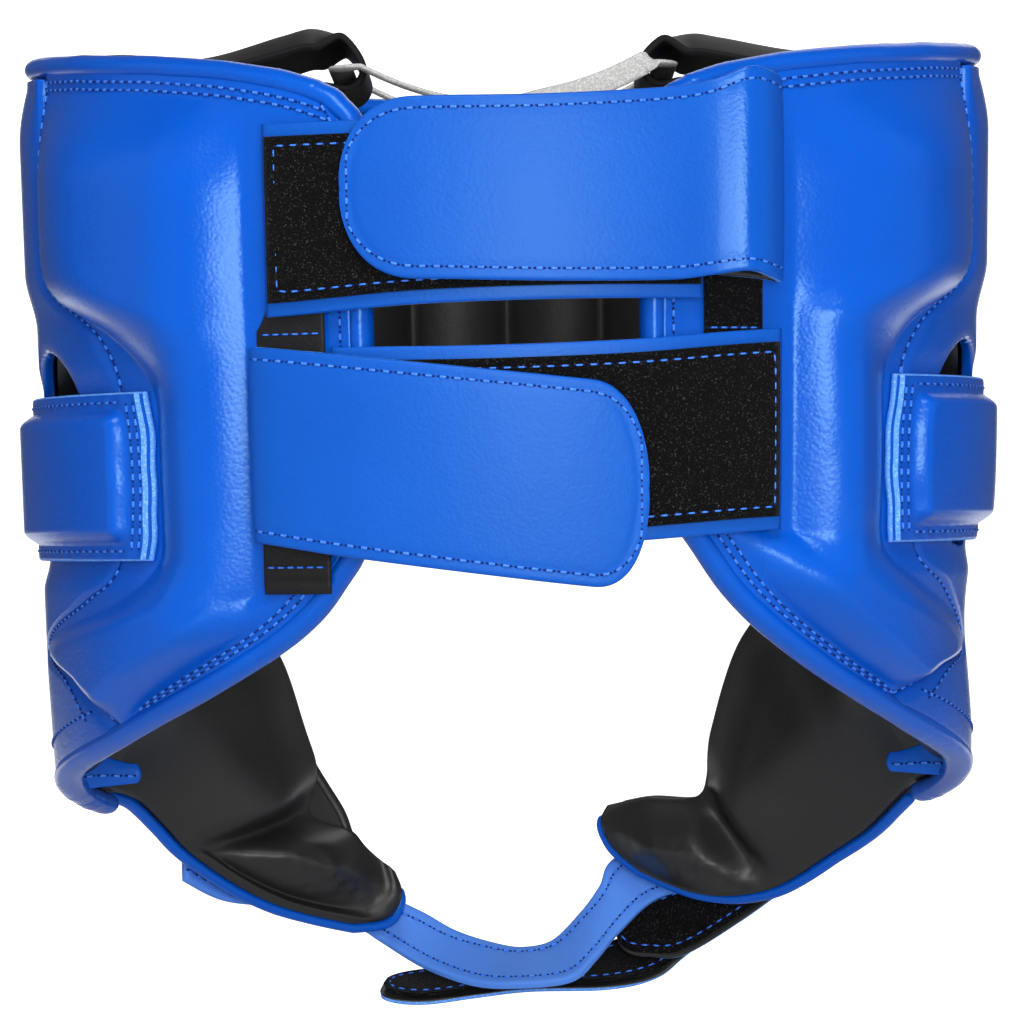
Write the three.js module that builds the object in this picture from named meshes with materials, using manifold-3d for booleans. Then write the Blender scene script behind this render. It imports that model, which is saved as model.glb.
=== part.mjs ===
// A padded sparring head guard with rear hook-and-loop closures, ear bands, crown lacing and a chin strap.
// Millimetres, +Z up. The wearer faces +Y and the closures are at -Y. The origin is the crown point, on
// the mid-plane under the crown lacing.
import * as THREE from 'three';
import Module from 'manifold-3d';
import { mergeVertices } from 'three/addons/utils/BufferGeometryUtils.js';

const { clamp, degToRad, lerp, radToDeg, smoothstep } = THREE.MathUtils;

// Head form: an oval seam surface that all panels lie on, seen in plan
const HALF_WIDTH = 114;
const SIDE_TAPER = 0.026;
const REAR_DEPTH = 109;
const REAR_FULLEST_Z = -50;
const REAR_TUCK = 0.0009;
const FRONT_DEPTH = 116;
const FRONT_FULLEST_Z = -80;
const FRONT_TUCK = 0.0006;
const MM_PER_DEGREE = 1.95;
// How far each side is drawn in below the ear band, where it is deepest, and where it fades towards the face
const DRAWN_IN = { left: 0, right: 3.2, z: -132, reach: 20, rearY: 10, frontY: 55 };

// Layers of the wall, as offsets from the seam surface, outward positive
const GAP = 0.3;
const SHELL_UNDERSIDE = -2.5;
const LINING_TOP = -3.5;
const LINING_EDGE = -5;

// Bindings
const ROLL_HEIGHT_RADIUS = 2.7;
const ROLL_DEPTH_RADIUS = 3.6;
const ROLL_OFFSET = -2.2;
const ROLL_SIDES = 6;
const ROLL_STEPS_TOP = 42;
const TOP_BINDING_START = 22;
const ROLL_STEPS_EDGE = 26;
const EDGE_STEP = 16 / ROLL_STEPS_EDGE;
const PIPING_RADIUS = 1.6;
const PIPING_OFFSET = -1.4;
const PIPING_SIDES = 5;

// Padding
const BACK_PUFF = 10;
const BACK_ROUNDING = 15;
const BACK_SEAM_ROUNDING = 46;
const TEMPLE_PUFF = 2.4;
const TEMPLE_ROUNDING = 13;
const TEMPLE_LOW = { none: -66, full: -50 };
const JAW_THIN = { fromPhi: 44, toPhi: 66, fromDepth: 104, toDepth: 118, share: 0.8 };
const LINING_PUFF = 14;
const LINING_ROUNDING = 16;
const LINING_LOW_LENGTH = 60;
const FOREHEAD_PUFF = 9;
const FOREHEAD_ROUNDING = 13;
const FOREHEAD_LINING_PUFF = 11;
const CHANNEL_WIDTH = 28;
const CHEEK_PUFF = 8;
const CHIN_LOBE_PUFF = 2.6;
const CHEEK_LINING_PUFF = 12;
const CHEEK_ROUNDING = 13;
const CHEEK_ROOT_LENGTH = 60;
const CHEEK_TIP_LENGTH = 90;
const CHEEK_CREASE_LENGTH = 130;
const CHEEK_CREASE_LEFT = 0.3;

// Where the closures press the back panels flat
const STRAP_ZONE_PHI = { left: 28.5, right: 31 };
const STRAP_ZONE_FADE = 12;
const STRAP_ZONE_BOTTOM = { left: -125, right: -116 };
const STRAP_ZONE_BOTTOM_FADE = 12;
const STRAP_ZONE_REST = 0.06;

// Ear hole and ear band
const EAR_HOLE = {
  phi: 75.5,
  halfPhi: 15.5,
  z: -90,
  halfZ: 24.5,
  sides: 18,
  innerDepth: -40,
  outerDepth: 20,
};
const EAR_BAND = {
  rear: { left: 45.6, right: 50.2 },
  front: 94,
  z: { left: -95.6, right: -94 },
  halfHeight: 19.3,
  flange: 2,
  pad: 3.4,
  bridge: 0.6,
  bow: 1.2,
};

// Straps: offsets of the layers and their thickness
const ANCHOR = { low: 1.3, high: 2.3 };
const ANCHOR_END = { start: -113.5, full: -119 };
const BASE_STRAP = { low: 2.6, high: 4.6 };
const LOOP_TAPE = { low: 4.9, high: 6.4, insetX: 0.4, insetZ: 3 };
const FLAP_THICKNESS = 2;
const FLAP_ROOT_OFFSET = 3.6;
const FLAP_TOP_OFFSET = 7.8;
const FLAP_RIDGE_OFFSET = 10.8;
const TAB_THICKNESS = 1.8;
const CHIN_STRAP_THICKNESS = 2.4;
const CHIN_BACKING_THICKNESS = 1.4;
const CHIN_TAPE_THICKNESS = 1;
const CHIN_TAPE_LIFT = 2;
const LACE = { width: 6, thickness: 1.4, reach: 38.5, spread: 29, hemZ: 0.8, sag: 9, corner: 5, sides: 6 };

const LEFT = -1;
const RIGHT = 1;
const bySide = (pair, side) => (side === LEFT ? pair.left : pair.right);

// Top of the rim over the plan angle, 0 at the rear, 90 at the ear, 180 at the front
const RIM = [
  { phi: 14, z: -16 },
  { phi: 20, z: -9.5 },
  { phi: 26, z: -5.5 },
  { phi: 34, z: -2.5 },
  { phi: 45, z: 0 },
  { phi: 60, z: 2.5 },
  { phi: 90, z: 6 },
  { phi: 130, z: 6 },
  { phi: 180, z: 4 },
  { phi: 230, z: 6 },
  { phi: 270, z: 6 },
];

// Middle of the rolled binding down the rear edge and along the lower edge to the jaw, on each side
const LEFT_EDGE = [
  { phi: 19.3, z: -14 },
  { phi: 17, z: -22 },
  { phi: 17, z: -48 },
  { phi: 17, z: -75 },
  { phi: 17, z: -101 },
  { phi: 18.2, z: -112 },
  { phi: 20.8, z: -119.5 },
  { phi: 24.3, z: -127.2 },
  { phi: 30.3, z: -135 },
  { phi: 40, z: -143.7 },
  { phi: 50, z: -150.8 },
  { phi: 60.5, z: -157 },
  { phi: 71, z: -161.5 },
  { phi: 82, z: -165.7 },
  { phi: 92, z: -169.8 },
  { phi: 101, z: -173.5 },
  { phi: 108, z: -176 },
];
const RIGHT_EDGE = [
  { phi: 19.3, z: -14 },
  { phi: 17, z: -22 },
  { phi: 17, z: -46 },
  { phi: 17, z: -71 },
  { phi: 17.3, z: -93 },
  { phi: 19.6, z: -103.5 },
  { phi: 23, z: -112.5 },
  { phi: 27.4, z: -123 },
  { phi: 33.4, z: -132.2 },
  { phi: 42, z: -141.8 },
  { phi: 52, z: -150 },
  { phi: 62, z: -156.5 },
  { phi: 72, z: -161 },
  { phi: 82, z: -165 },
  { phi: 92, z: -169.5 },
  { phi: 101, z: -173.5 },
  { phi: 108, z: -176 },
];
const EDGE_CLEARANCE = 3.2;

// Rows down the side: the row of the edge table they start beside, the plan angle and height of the ear
// seam, and the height at the front of the ear panel
const SIDE_ROWS = [
  { edge: 0, leftSeam: 70, rightSeam: 70.5, seamZ: -1.6, frontZ: 0.2 },
  { edge: 1.1, leftSeam: 70.5, rightSeam: 71, seamZ: -25, frontZ: -25 },
  { edge: 1.95, leftSeam: 70.5, rightSeam: 71, seamZ: -45, frontZ: -45 },
  { edge: 2.35, leftSeam: 68, rightSeam: 68.5, seamZ: -53, frontZ: -54 },
  { edge: 2.85, leftSeam: 56.5, rightSeam: 57.5, seamZ: -63.5, frontZ: -64 },
  { edge: 3.55, leftSeam: 44.6, rightSeam: 49.2, seamZ: -78.5, frontZ: -80 },
  { edge: 4.6, leftSeam: 44.6, rightSeam: 49.2, seamZ: -113.8, frontZ: -109 },
  { edge: 6.7, leftSeam: 62, rightSeam: 63, seamZ: -122, frontZ: -127 },
  { edge: 8.6, leftSeam: 83, rightSeam: 82, seamZ: -136.5, frontZ: -143 },
  { edge: 10, leftSeam: 57, rightSeam: 57, seamZ: -149.3, frontZ: -169.2 },
];
const EAR_PANEL_FRONT = 99.4;
const RIM_SHARE = 0.35;

// Rows of the side lining: the row of the edge table they start beside, and the height at the front
const LINING_ROWS = [
  { edge: 0, frontZ: 0 },
  { edge: 1.7, frontZ: -40 },
  { edge: 3, frontZ: -75 },
  { edge: 4, frontZ: -100 },
  { edge: 7.2, frontZ: -128 },
  { edge: 9.3, frontZ: -148 },
  { edge: 11.6, frontZ: -160 },
  { edge: 13.8, frontZ: -168.4 },
];
const LINING_CLEARANCE = 3.8;

// Lower edge of the forehead pad
const BROW = [
  { phi: 99, z: -57 },
  { phi: 112, z: -65.5 },
  { phi: 124, z: -74 },
  { phi: 135, z: -80.5 },
  { phi: 150, z: -84.5 },
  { phi: 180, z: -85 },
  { phi: 210, z: -84.5 },
  { phi: 225, z: -80.5 },
  { phi: 236, z: -74 },
  { phi: 248, z: -65.5 },
  { phi: 261, z: -57 },
];
const FOREHEAD_END = 99.8;
const FACE_CORNER = { phi: 129.3, z: -83.6 };
const BROW_PIPING_START = 135;
const BROW_PIPING_DROP = 2.4;

// Rows across each cheek guard, from the ear panel to the chin tip: face edge and lower edge
const LEFT_CHEEK = [
  { topPhi: 99.8, topZ: -59, lowPhi: 99.8, lowZ: -173 },
  { topPhi: 112, topZ: -68, lowPhi: 102, lowZ: -173.8 },
  { topPhi: 124, topZ: -77, lowPhi: 104, lowZ: -174.5 },
  { topPhi: 133, topZ: -97, lowPhi: 108, lowZ: -175.5 },
  { topPhi: 138.5, topZ: -124, lowPhi: 112, lowZ: -176.5 },
  { topPhi: 145.5, topZ: -142.5, lowPhi: 116, lowZ: -178.5 },
  { topPhi: 150, topZ: -165, lowPhi: 121, lowZ: -184 },
  { topPhi: 155.5, topZ: -182, lowPhi: 128, lowZ: -193 },
  { topPhi: 158, topZ: -191.5, lowPhi: 143, lowZ: -207.5 },
  { topPhi: 165.8, topZ: -203, lowPhi: 162.5, lowZ: -217.3 },
];
const RIGHT_CHEEK = [
  { topPhi: 99.8, topZ: -59, lowPhi: 99.8, lowZ: -173 },
  { topPhi: 112, topZ: -68, lowPhi: 102, lowZ: -173.8 },
  { topPhi: 124, topZ: -77, lowPhi: 104.5, lowZ: -174.7 },
  { topPhi: 133, topZ: -97, lowPhi: 109.5, lowZ: -177 },
  { topPhi: 139.5, topZ: -124, lowPhi: 115, lowZ: -182 },
  { topPhi: 146.5, topZ: -141, lowPhi: 121.5, lowZ: -189 },
  { topPhi: 150.8, topZ: -163, lowPhi: 129, lowZ: -195.5 },
  { topPhi: 152.5, topZ: -179, lowPhi: 141, lowZ: -206 },
  { topPhi: 161.5, topZ: -180.2, lowPhi: 152.8, lowZ: -207.3 },
  { topPhi: 169.8, topZ: -183.5, lowPhi: 166.2, lowZ: -198 },
];
const CHEEK_CREASE = 7 / 9;
const CHEEK_SEAM_END = 0.21;
const CHEEK_INSET = 4.6;
const CHEEK_LINING_INSET = { top: 2.5, low: 6 };
const CHEEK_NOTCH = { left: 10, right: 0, width: 0.05 };
const CHEEK_TIP_SHARE = 0.035;
const CHEEK_TIP_ROUND = 0.03;
const CHEEK_LINING_ROOT = 0.012;
const CHEEK_PIPING_START = 0.41;
const TIP_PIPING = [0.72, 0.44, 0.16];
const FACE_PIPING = { tip: 0.965, corner: 0.33 };

// Closing straps across the rear: position along x, and the top and bottom edges there
const UPPER_FLAP = [
  { x: 46, offset: FLAP_ROOT_OFFSET, top: -12, low: -53 },
  { x: 57, offset: FLAP_ROOT_OFFSET + 0.15, top: -10.5, low: -54 },
  { x: 61.4, offset: (FLAP_ROOT_OFFSET + FLAP_TOP_OFFSET) / 2 + 0.5, top: -9.6, low: -54.8 },
  { x: 58, offset: FLAP_RIDGE_OFFSET - 0.6, top: -8, low: -53.8 },
  { x: 52, offset: FLAP_RIDGE_OFFSET, top: -7.4, low: -52.6 },
  { x: 43, offset: FLAP_TOP_OFFSET + 0.2, top: -10.4, low: -53.4 },
  { x: 33, offset: FLAP_TOP_OFFSET, top: -12.2, low: -54.5 },
  { x: 10, offset: FLAP_TOP_OFFSET, top: -13.4, low: -54.5 },
  { x: -20, offset: FLAP_TOP_OFFSET, top: -13.4, low: -53.4 },
  { x: -31, offset: FLAP_TOP_OFFSET, top: -18.5, low: -49 },
  { x: -36.4, offset: FLAP_TOP_OFFSET, top: -28, low: -41 },
];
const LOWER_FLAP = [
  { x: -42, offset: FLAP_ROOT_OFFSET, top: -69, low: -112 },
  { x: -53.5, offset: FLAP_ROOT_OFFSET, top: -67.9, low: -111 },
  { x: -57.4, offset: (FLAP_ROOT_OFFSET + FLAP_TOP_OFFSET) / 2, top: -67.5, low: -110.9 },
  { x: -53.5, offset: FLAP_TOP_OFFSET, top: -67.9, low: -111.6 },
  { x: -38, offset: FLAP_TOP_OFFSET, top: -69.7, low: -114.2 },
  { x: -13, offset: FLAP_TOP_OFFSET, top: -72.6, low: -117.7 },
  { x: 15, offset: FLAP_TOP_OFFSET, top: -75.8, low: -121.2 },
  { x: 25, offset: FLAP_TOP_OFFSET, top: -80.5, low: -117.5 },
  { x: 31, offset: FLAP_TOP_OFFSET, top: -92, low: -106 },
];
const UPPER_BASE = [
  { x: -54, top: -18, low: -61 },
  { x: -20, top: -18, low: -59 },
  { x: 10, top: -18.2, low: -58.3 },
  { x: 44, top: -18.5, low: -58.3 },
];
const LOWER_BASE = [
  { x: -39.5, top: -68, low: -114 },
  { x: 0, top: -68.2, low: -113 },
  { x: 37, top: -67.3, low: -111.8 },
  { x: 62, top: -65, low: -109.8 },
];
const LEFT_ANCHOR = [
  { x: -56.5, top: -64, low: -122.5 },
  { x: -41, top: -22, low: -122.5 },
];
const RIGHT_ANCHOR = [
  { x: 44.5, top: -14, low: -104 },
  { x: 57.8, top: -14, low: -104 },
];

// Crown tab, from the rim at the ear inwards and round its hem, seen from the front
const CROWN_TAB = [
  { x: 102.6, z: 3.2, halfWidth: 32 },
  { x: 90, z: 3.6, halfWidth: 31 },
  { x: 72, z: 4.6, halfWidth: 29 },
  { x: 53, z: 8, halfWidth: 27 },
  { x: 45, z: 9, halfWidth: 26 },
  { x: 37.5, z: 6.4, halfWidth: 25 },
  { x: 33.2, z: 1, halfWidth: 25 },
  { x: 36, z: -3.6, halfWidth: 25 },
  { x: 43, z: -3, halfWidth: 25 },
];
const CROWN_ARCH = { left: 1, right: 0.7 };
const CROWN_ROOT_BULGE = 4.8;
const CROWN_ROOT_SHARE = 0.3;
const CROWN_SIDE_DROP = 6;

const wasm = await Module();
wasm.setup();

const group = new THREE.Group();

const blueLeather = () => new THREE.MeshStandardMaterial({ color: 0x1358cf, roughness: 0.42, metalness: 0 });
const blackLeather = () => new THREE.MeshStandardMaterial({ color: 0x242424, roughness: 0.5, metalness: 0 });
const loopPile = () => new THREE.MeshStandardMaterial({ color: 0x1a1a1c, roughness: 0.95, metalness: 0 });
const whiteLace = () => new THREE.MeshStandardMaterial({ color: 0xe8e8e8, roughness: 0.85, metalness: 0 });

function addPiece(name, geometry, material) {
  geometry.computeVertexNormals();
  const mesh = new THREE.Mesh(geometry, material);
  mesh.name = name;
  group.add(mesh);
}

// One smooth row between the rows of a table, t running evenly from the first row to the last.
function rowAt(rows, t) {
  const last = rows.length - 1;
  const place = clamp(t, 0, 1) * last;
  const i = Math.min(Math.floor(place), last - 1);
  const f = place - i;
  const near = [rows[Math.max(i - 1, 0)], rows[i], rows[i + 1], rows[Math.min(i + 2, last)]];
  const row = {};
  for (const key of Object.keys(rows[0])) {
    const [a, b, c, d] = near.map((entry) => entry[key]);
    const bend = (2 * b - 2 * c + (c - a) / 2 + (d - b) / 2) * f ** 3;
    row[key] = b + ((c - a) / 2) * f + (3 * (c - b) - (c - a) - (d - b) / 2) * f ** 2 + bend;
  }
  return row;
}

// Height from a table of plan angle and height.
function heightAt(table, phi) {
  const next = clamp(table.findIndex((row) => row.phi >= phi), 1, table.length - 1);
  const from = table[next - 1];
  const to = table[next];
  return rowAt(table, (next - 1 + (phi - from.phi) / (to.phi - from.phi)) / (table.length - 1)).z;
}

// A point of the head form at a plan angle and height, moved outward by an offset.
function wall(phi, z, offset) {
  const a = HALF_WIDTH + SIDE_TAPER * z;
  const front = FRONT_DEPTH - FRONT_TUCK * (z - FRONT_FULLEST_Z) ** 2;
  const rear = REAR_DEPTH - REAR_TUCK * (z - REAR_FULLEST_Z) ** 2;
  const s = Math.sin(degToRad(phi));
  const c = Math.cos(degToRad(phi));
  const b = c > 0 ? rear : front;
  const outward = new THREE.Vector3(s / a, -c / b, 0).normalize();
  return new THREE.Vector3(a * s, -b * c, z).addScaledVector(outward, offset);
}

// Puts a point of the wall on its side. Below the ear band a soft bell draws the right side in.
function mirrored(point, side) {
  const bell = Math.exp(-(((point.z - DRAWN_IN.z) / DRAWN_IN.reach) ** 2));
  const atEar = clamp(point.x / HALF_WIDTH, 0, 1) ** 3;
  const behindFace = 1 - smoothstep(point.y, DRAWN_IN.rearY, DRAWN_IN.frontY);
  return point.setX(side * (point.x - bySide(DRAWN_IN, side) * bell * atEar * behindFace));
}

const phiAtX = (x, offset) => radToDeg(Math.asin(x / (HALF_WIDTH + offset)));

// Rounded rise of a pad from a seam: a quarter ellipse over the rounding distance.
function rise(distance, rounding) {
  const t = clamp(distance / rounding, 0, 1);
  return Math.sqrt(1 - (1 - t) ** 2);
}

// A geometry from vertices and triangles, turned so that its faces point out.
function closedGeometry(position, index) {
  const geometry = new THREE.BufferGeometry();
  geometry.setAttribute('position', new THREE.Float32BufferAttribute(position, 3));
  const corner = [new THREE.Vector3(), new THREE.Vector3(), new THREE.Vector3()];
  let volume = 0;
  for (let i = 0; i < index.length; i += 3) {
    corner.forEach((vector, k) => vector.fromArray(position, 3 * index[i + k]));
    volume += corner[0].dot(corner[1].cross(corner[2]));
  }
  if (volume < 0) {
    index.reverse();
  }
  geometry.setIndex(index);
  return geometry;
}

// A closed solid between an inner and an outer grid; face(u, v, layer) gives a point of layer 0 or 1. Each
// four-sided cell is split along its shorter diagonal.
function slab(columns, rows, face) {
  const position = [];
  const index = [];
  const layerSize = (columns + 1) * (rows + 1);
  for (const layer of [0, 1]) {
    for (let j = 0; j <= rows; j += 1) {
      for (let i = 0; i <= columns; i += 1) {
        position.push(...face(i / columns, j / rows, layer).toArray());
      }
    }
  }
  const at = (i, j, layer) => layer * layerSize + j * (columns + 1) + i;
  const apart = (a, b) => {
    const [from, to] = [a, b].map((k) => new THREE.Vector3().fromArray(position, 3 * k));
    return from.distanceTo(to);
  };
  const quad = (a, b, c, d) => {
    const split = apart(a, c) <= apart(b, d) ? [a, b, c, a, c, d] : [a, b, d, b, c, d];
    index.push(...split);
  };
  for (let j = 0; j < rows; j += 1) {
    for (let i = 0; i < columns; i += 1) {
      quad(at(i, j, 1), at(i + 1, j, 1), at(i + 1, j + 1, 1), at(i, j + 1, 1));
      quad(at(i, j, 0), at(i, j + 1, 0), at(i + 1, j + 1, 0), at(i + 1, j, 0));
    }
  }
  for (let i = 0; i < columns; i += 1) {
    quad(at(i, 0, 0), at(i + 1, 0, 0), at(i + 1, 0, 1), at(i, 0, 1));
    quad(at(i, rows, 1), at(i + 1, rows, 1), at(i + 1, rows, 0), at(i, rows, 0));
  }
  for (let j = 0; j < rows; j += 1) {
    quad(at(0, j, 1), at(0, j + 1, 1), at(0, j + 1, 0), at(0, j, 0));
    quad(at(columns, j, 0), at(columns, j + 1, 0), at(columns, j + 1, 1), at(columns, j, 1));
  }
  return closedGeometry(position, index);
}

// A tube of an oval section: frames give its middle and the two half axes; ends are capped unless it closes.
function tube(frames, sides, closed) {
  const position = [];
  const index = [];
  for (const frame of frames) {
    for (let k = 0; k < sides; k += 1) {
      const angle = (2 * Math.PI * k) / sides;
      const point = frame.middle.clone();
      point.addScaledVector(frame.across, Math.cos(angle));
      point.addScaledVector(frame.along, Math.sin(angle));
      position.push(...point.toArray());
    }
  }
  const rings = closed ? frames.length : frames.length - 1;
  for (let r = 0; r < rings; r += 1) {
    for (let k = 0; k < sides; k += 1) {
      const a = r * sides + k;
      const b = r * sides + ((k + 1) % sides);
      const c = ((r + 1) % frames.length) * sides + ((k + 1) % sides);
      const d = ((r + 1) % frames.length) * sides + k;
      index.push(a, b, c, a, c, d);
    }
  }
  if (!closed) {
    const last = (frames.length - 1) * sides;
    for (let k = 1; k < sides - 1; k += 1) {
      index.push(0, k + 1, k);
      index.push(last, last + k, last + k + 1);
    }
  }
  return closedGeometry(position, index);
}

// Frames of a binding that follows points of plan angle and height on the head form.
function bindingFrames(points, offset, depthRadius, heightRadius, side) {
  const middles = points.map((point) => mirrored(wall(point.phi, point.z, offset), side));
  return middles.map((middle, i) => {
    const before = middles[Math.max(i - 1, 0)];
    const after = middles[Math.min(i + 1, middles.length - 1)];
    const tangent = after.clone().sub(before).normalize();
    const outer = mirrored(wall(points[i].phi, points[i].z, offset + 1), side);
    const outward = outer.sub(middle);
    outward.addScaledVector(tangent, -outward.dot(tangent)).normalize();
    const edgeward = tangent.clone().cross(outward);
    return {
      middle,
      across: outward.multiplyScalar(depthRadius),
      along: edgeward.multiplyScalar(heightRadius),
    };
  });
}

function toSolid(geometry) {
  const bare = geometry.clone();
  bare.deleteAttribute('normal');
  bare.deleteAttribute('uv');
  const merged = mergeVertices(bare);
  const vertProperties = new Float32Array(merged.attributes.position.array);
  const triVerts = new Uint32Array(merged.index.array);
  return new wasm.Manifold(new wasm.Mesh({ numProp: 3, vertProperties, triVerts }));
}

function toGeometry(solid) {
  const mesh = solid.getMesh();
  return closedGeometry(Array.from(mesh.vertProperties), Array.from(mesh.triVerts));
}

// The plug that cuts an ear hole through the wall.
function earPlug(side) {
  const position = [];
  const index = [];
  const { phi, halfPhi, z, halfZ, sides, innerDepth, outerDepth } = EAR_HOLE;
  for (const depth of [innerDepth, outerDepth]) {
    for (let k = 0; k < sides; k += 1) {
      const angle = (2 * Math.PI * k) / sides;
      const point = wall(phi + halfPhi * Math.cos(angle), z + halfZ * Math.sin(angle), depth);
      position.push(...mirrored(point, side).toArray());
    }
  }
  for (let k = 0; k < sides; k += 1) {
    const next = (k + 1) % sides;
    index.push(k, next, sides + next, k, sides + next, sides + k);
  }
  for (let k = 1; k < sides - 1; k += 1) {
    index.push(0, k + 1, k);
    index.push(sides, sides + k, sides + k + 1);
  }
  return toSolid(closedGeometry(position, index));
}

const cutEarHole = (geometry, side) => toGeometry(toSolid(geometry).subtract(earPlug(side)));

// Height of the pads' upper edge, just under the rim's rolled binding.
const underRim = (phi) => heightAt(RIM, phi) - 2 * ROLL_HEIGHT_RADIUS - GAP;

// A place on a panel ruled between two borders; its top row follows the rim.
function ruledPlace(start, end, u, v) {
  const phi = lerp(start.phi, end.phi, u);
  const flatZ = lerp(start.z, end.z, u);
  const rimShare = 1 - smoothstep(v, 0, RIM_SHARE);
  const lift = rimShare * (underRim(phi) - lerp(underRim(start.phi), underRim(end.phi), u));
  return { phi, z: flatZ + lift };
}

// A place beside the rolled edge binding of one side, a clearance away from its middle line.
function besideEdge(side, entry, clearance) {
  const rows = side === LEFT ? LEFT_EDGE : RIGHT_EDGE;
  const share = entry / (rows.length - 1);
  const step = 1e-3;
  const place = rowAt(rows, share);
  const before = rowAt(rows, share - step);
  const after = rowAt(rows, share + step);
  const way = new THREE.Vector2((after.phi - before.phi) * MM_PER_DEGREE, after.z - before.z).normalize();
  return { phi: place.phi - (way.y * clearance) / MM_PER_DEGREE, z: place.z + way.x * clearance };
}

const seamPhi = (row, side) => (side === LEFT ? row.leftSeam : row.rightSeam);

// How much of the back padding is left at the jaw, where it thins out below the ear.
function jawShare({ phi, z }) {
  const { fromPhi, toPhi, fromDepth, toDepth, share } = JAW_THIN;
  return 1 - share * smoothstep(phi, fromPhi, toPhi) * smoothstep(-z, fromDepth, toDepth);
}

function backPanel(side) {
  const bottom = bySide(STRAP_ZONE_BOTTOM, side);
  const zone = bySide(STRAP_ZONE_PHI, side);
  return slab(8, 18, (u, v, layer) => {
    const row = rowAt(SIDE_ROWS, v);
    const start = besideEdge(side, row.edge, EDGE_CLEARANCE);
    const end = { phi: seamPhi(row, side), z: row.seamZ };
    const place = ruledPlace(start, end, u, v);
    if (layer === 0) {
      return mirrored(wall(place.phi, place.z, SHELL_UNDERSIDE), side);
    }
    const width = Math.hypot((end.phi - start.phi) * MM_PER_DEGREE, end.z - start.z);
    const pressedPhi = 1 - smoothstep(place.phi, zone, zone + STRAP_ZONE_FADE);
    const pressedZ = smoothstep(place.z, bottom - STRAP_ZONE_BOTTOM_FADE, bottom);
    const pressed = 1 - (1 - STRAP_ZONE_REST) * pressedPhi * pressedZ;
    const fromTop = rise(underRim(place.phi) - place.z, BACK_ROUNDING);
    const fromSides = rise(u * width, BACK_ROUNDING) * rise((1 - u) * width, BACK_SEAM_ROUNDING);
    const puff = BACK_PUFF * pressed * fromTop * fromSides * jawShare(place);
    return mirrored(wall(place.phi, place.z, puff), side);
  });
}

function earPanel(side) {
  const panel = slab(6, 18, (u, v, layer) => {
    const row = rowAt(SIDE_ROWS, v);
    const start = { phi: seamPhi(row, side) + 2 * GAP / MM_PER_DEGREE, z: row.seamZ };
    const end = { phi: EAR_PANEL_FRONT, z: row.frontZ };
    const place = ruledPlace(start, end, u, v);
    if (layer === 0) {
      return mirrored(wall(place.phi, place.z, SHELL_UNDERSIDE), side);
    }
    const width = (end.phi - start.phi) * MM_PER_DEGREE;
    const fromTop = rise(underRim(place.phi) - place.z, TEMPLE_ROUNDING);
    const fromSides = rise(u * width, TEMPLE_ROUNDING) * rise((1 - u) * width, TEMPLE_ROUNDING);
    const fromEar = smoothstep(place.z, TEMPLE_LOW.none, TEMPLE_LOW.full);
    return mirrored(wall(place.phi, place.z, TEMPLE_PUFF * fromTop * fromSides * fromEar), side);
  });
  return cutEarHole(panel, side);
}

function sideLining(side) {
  const lining = slab(9, 8, (u, v, layer) => {
    const row = rowAt(LINING_ROWS, v);
    const start = besideEdge(side, row.edge, LINING_CLEARANCE);
    const end = { phi: EAR_PANEL_FRONT, z: row.frontZ };
    const place = ruledPlace(start, end, u, v);
    if (layer === 1) {
      return mirrored(wall(place.phi, place.z, LINING_TOP), side);
    }
    const width = (end.phi - start.phi) * MM_PER_DEGREE;
    const fromTop = rise(underRim(place.phi) - place.z, LINING_ROUNDING);
    const fromSides = rise(u * width, LINING_ROUNDING) * rise((1 - u) * width, LINING_ROUNDING);
    const fromLow = rise((1 - v) * LINING_LOW_LENGTH, LINING_ROUNDING);
    const puff = LINING_PUFF * fromTop * fromSides * fromLow;
    return mirrored(wall(place.phi, place.z, LINING_EDGE - puff), side);
  });
  return cutEarHole(lining, side);
}

function foreheadPad() {
  return slab(18, 4, (u, v, layer) => {
    const phi = lerp(FOREHEAD_END, 360 - FOREHEAD_END, u);
    const top = underRim(phi);
    const brow = heightAt(BROW, phi);
    const z = lerp(top, brow, v);
    if (layer === 0) {
      return wall(phi, z, SHELL_UNDERSIDE);
    }
    const fromEnds = rise((180 - FOREHEAD_END - Math.abs(phi - 180)) * MM_PER_DEGREE, FOREHEAD_ROUNDING);
    const fromEdges = rise(top - z, FOREHEAD_ROUNDING) * rise(z - brow, FOREHEAD_ROUNDING);
    return wall(phi, z, FOREHEAD_PUFF * fromEnds * fromEdges);
  });
}

function foreheadLining() {
  return slab(24, 3, (u, v, layer) => {
    const phi = lerp(FOREHEAD_END + 1, 359 - FOREHEAD_END, u);
    const top = underRim(phi) - 1;
    const brow = heightAt(BROW, phi) + 1;
    const z = lerp(top, brow, v);
    if (layer === 1) {
      return wall(phi, z, LINING_TOP);
    }
    const across = (phi - 180) * MM_PER_DEGREE;
    const channel = Math.abs(Math.sin((Math.PI * across) / CHANNEL_WIDTH)) ** 0.5;
    const fromEdges = rise(top - z, FOREHEAD_ROUNDING) * rise(z - brow, FOREHEAD_ROUNDING);
    return wall(phi, z, LINING_EDGE - FOREHEAD_LINING_PUFF * fromEdges * lerp(0.45, 1, channel));
  });
}

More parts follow.
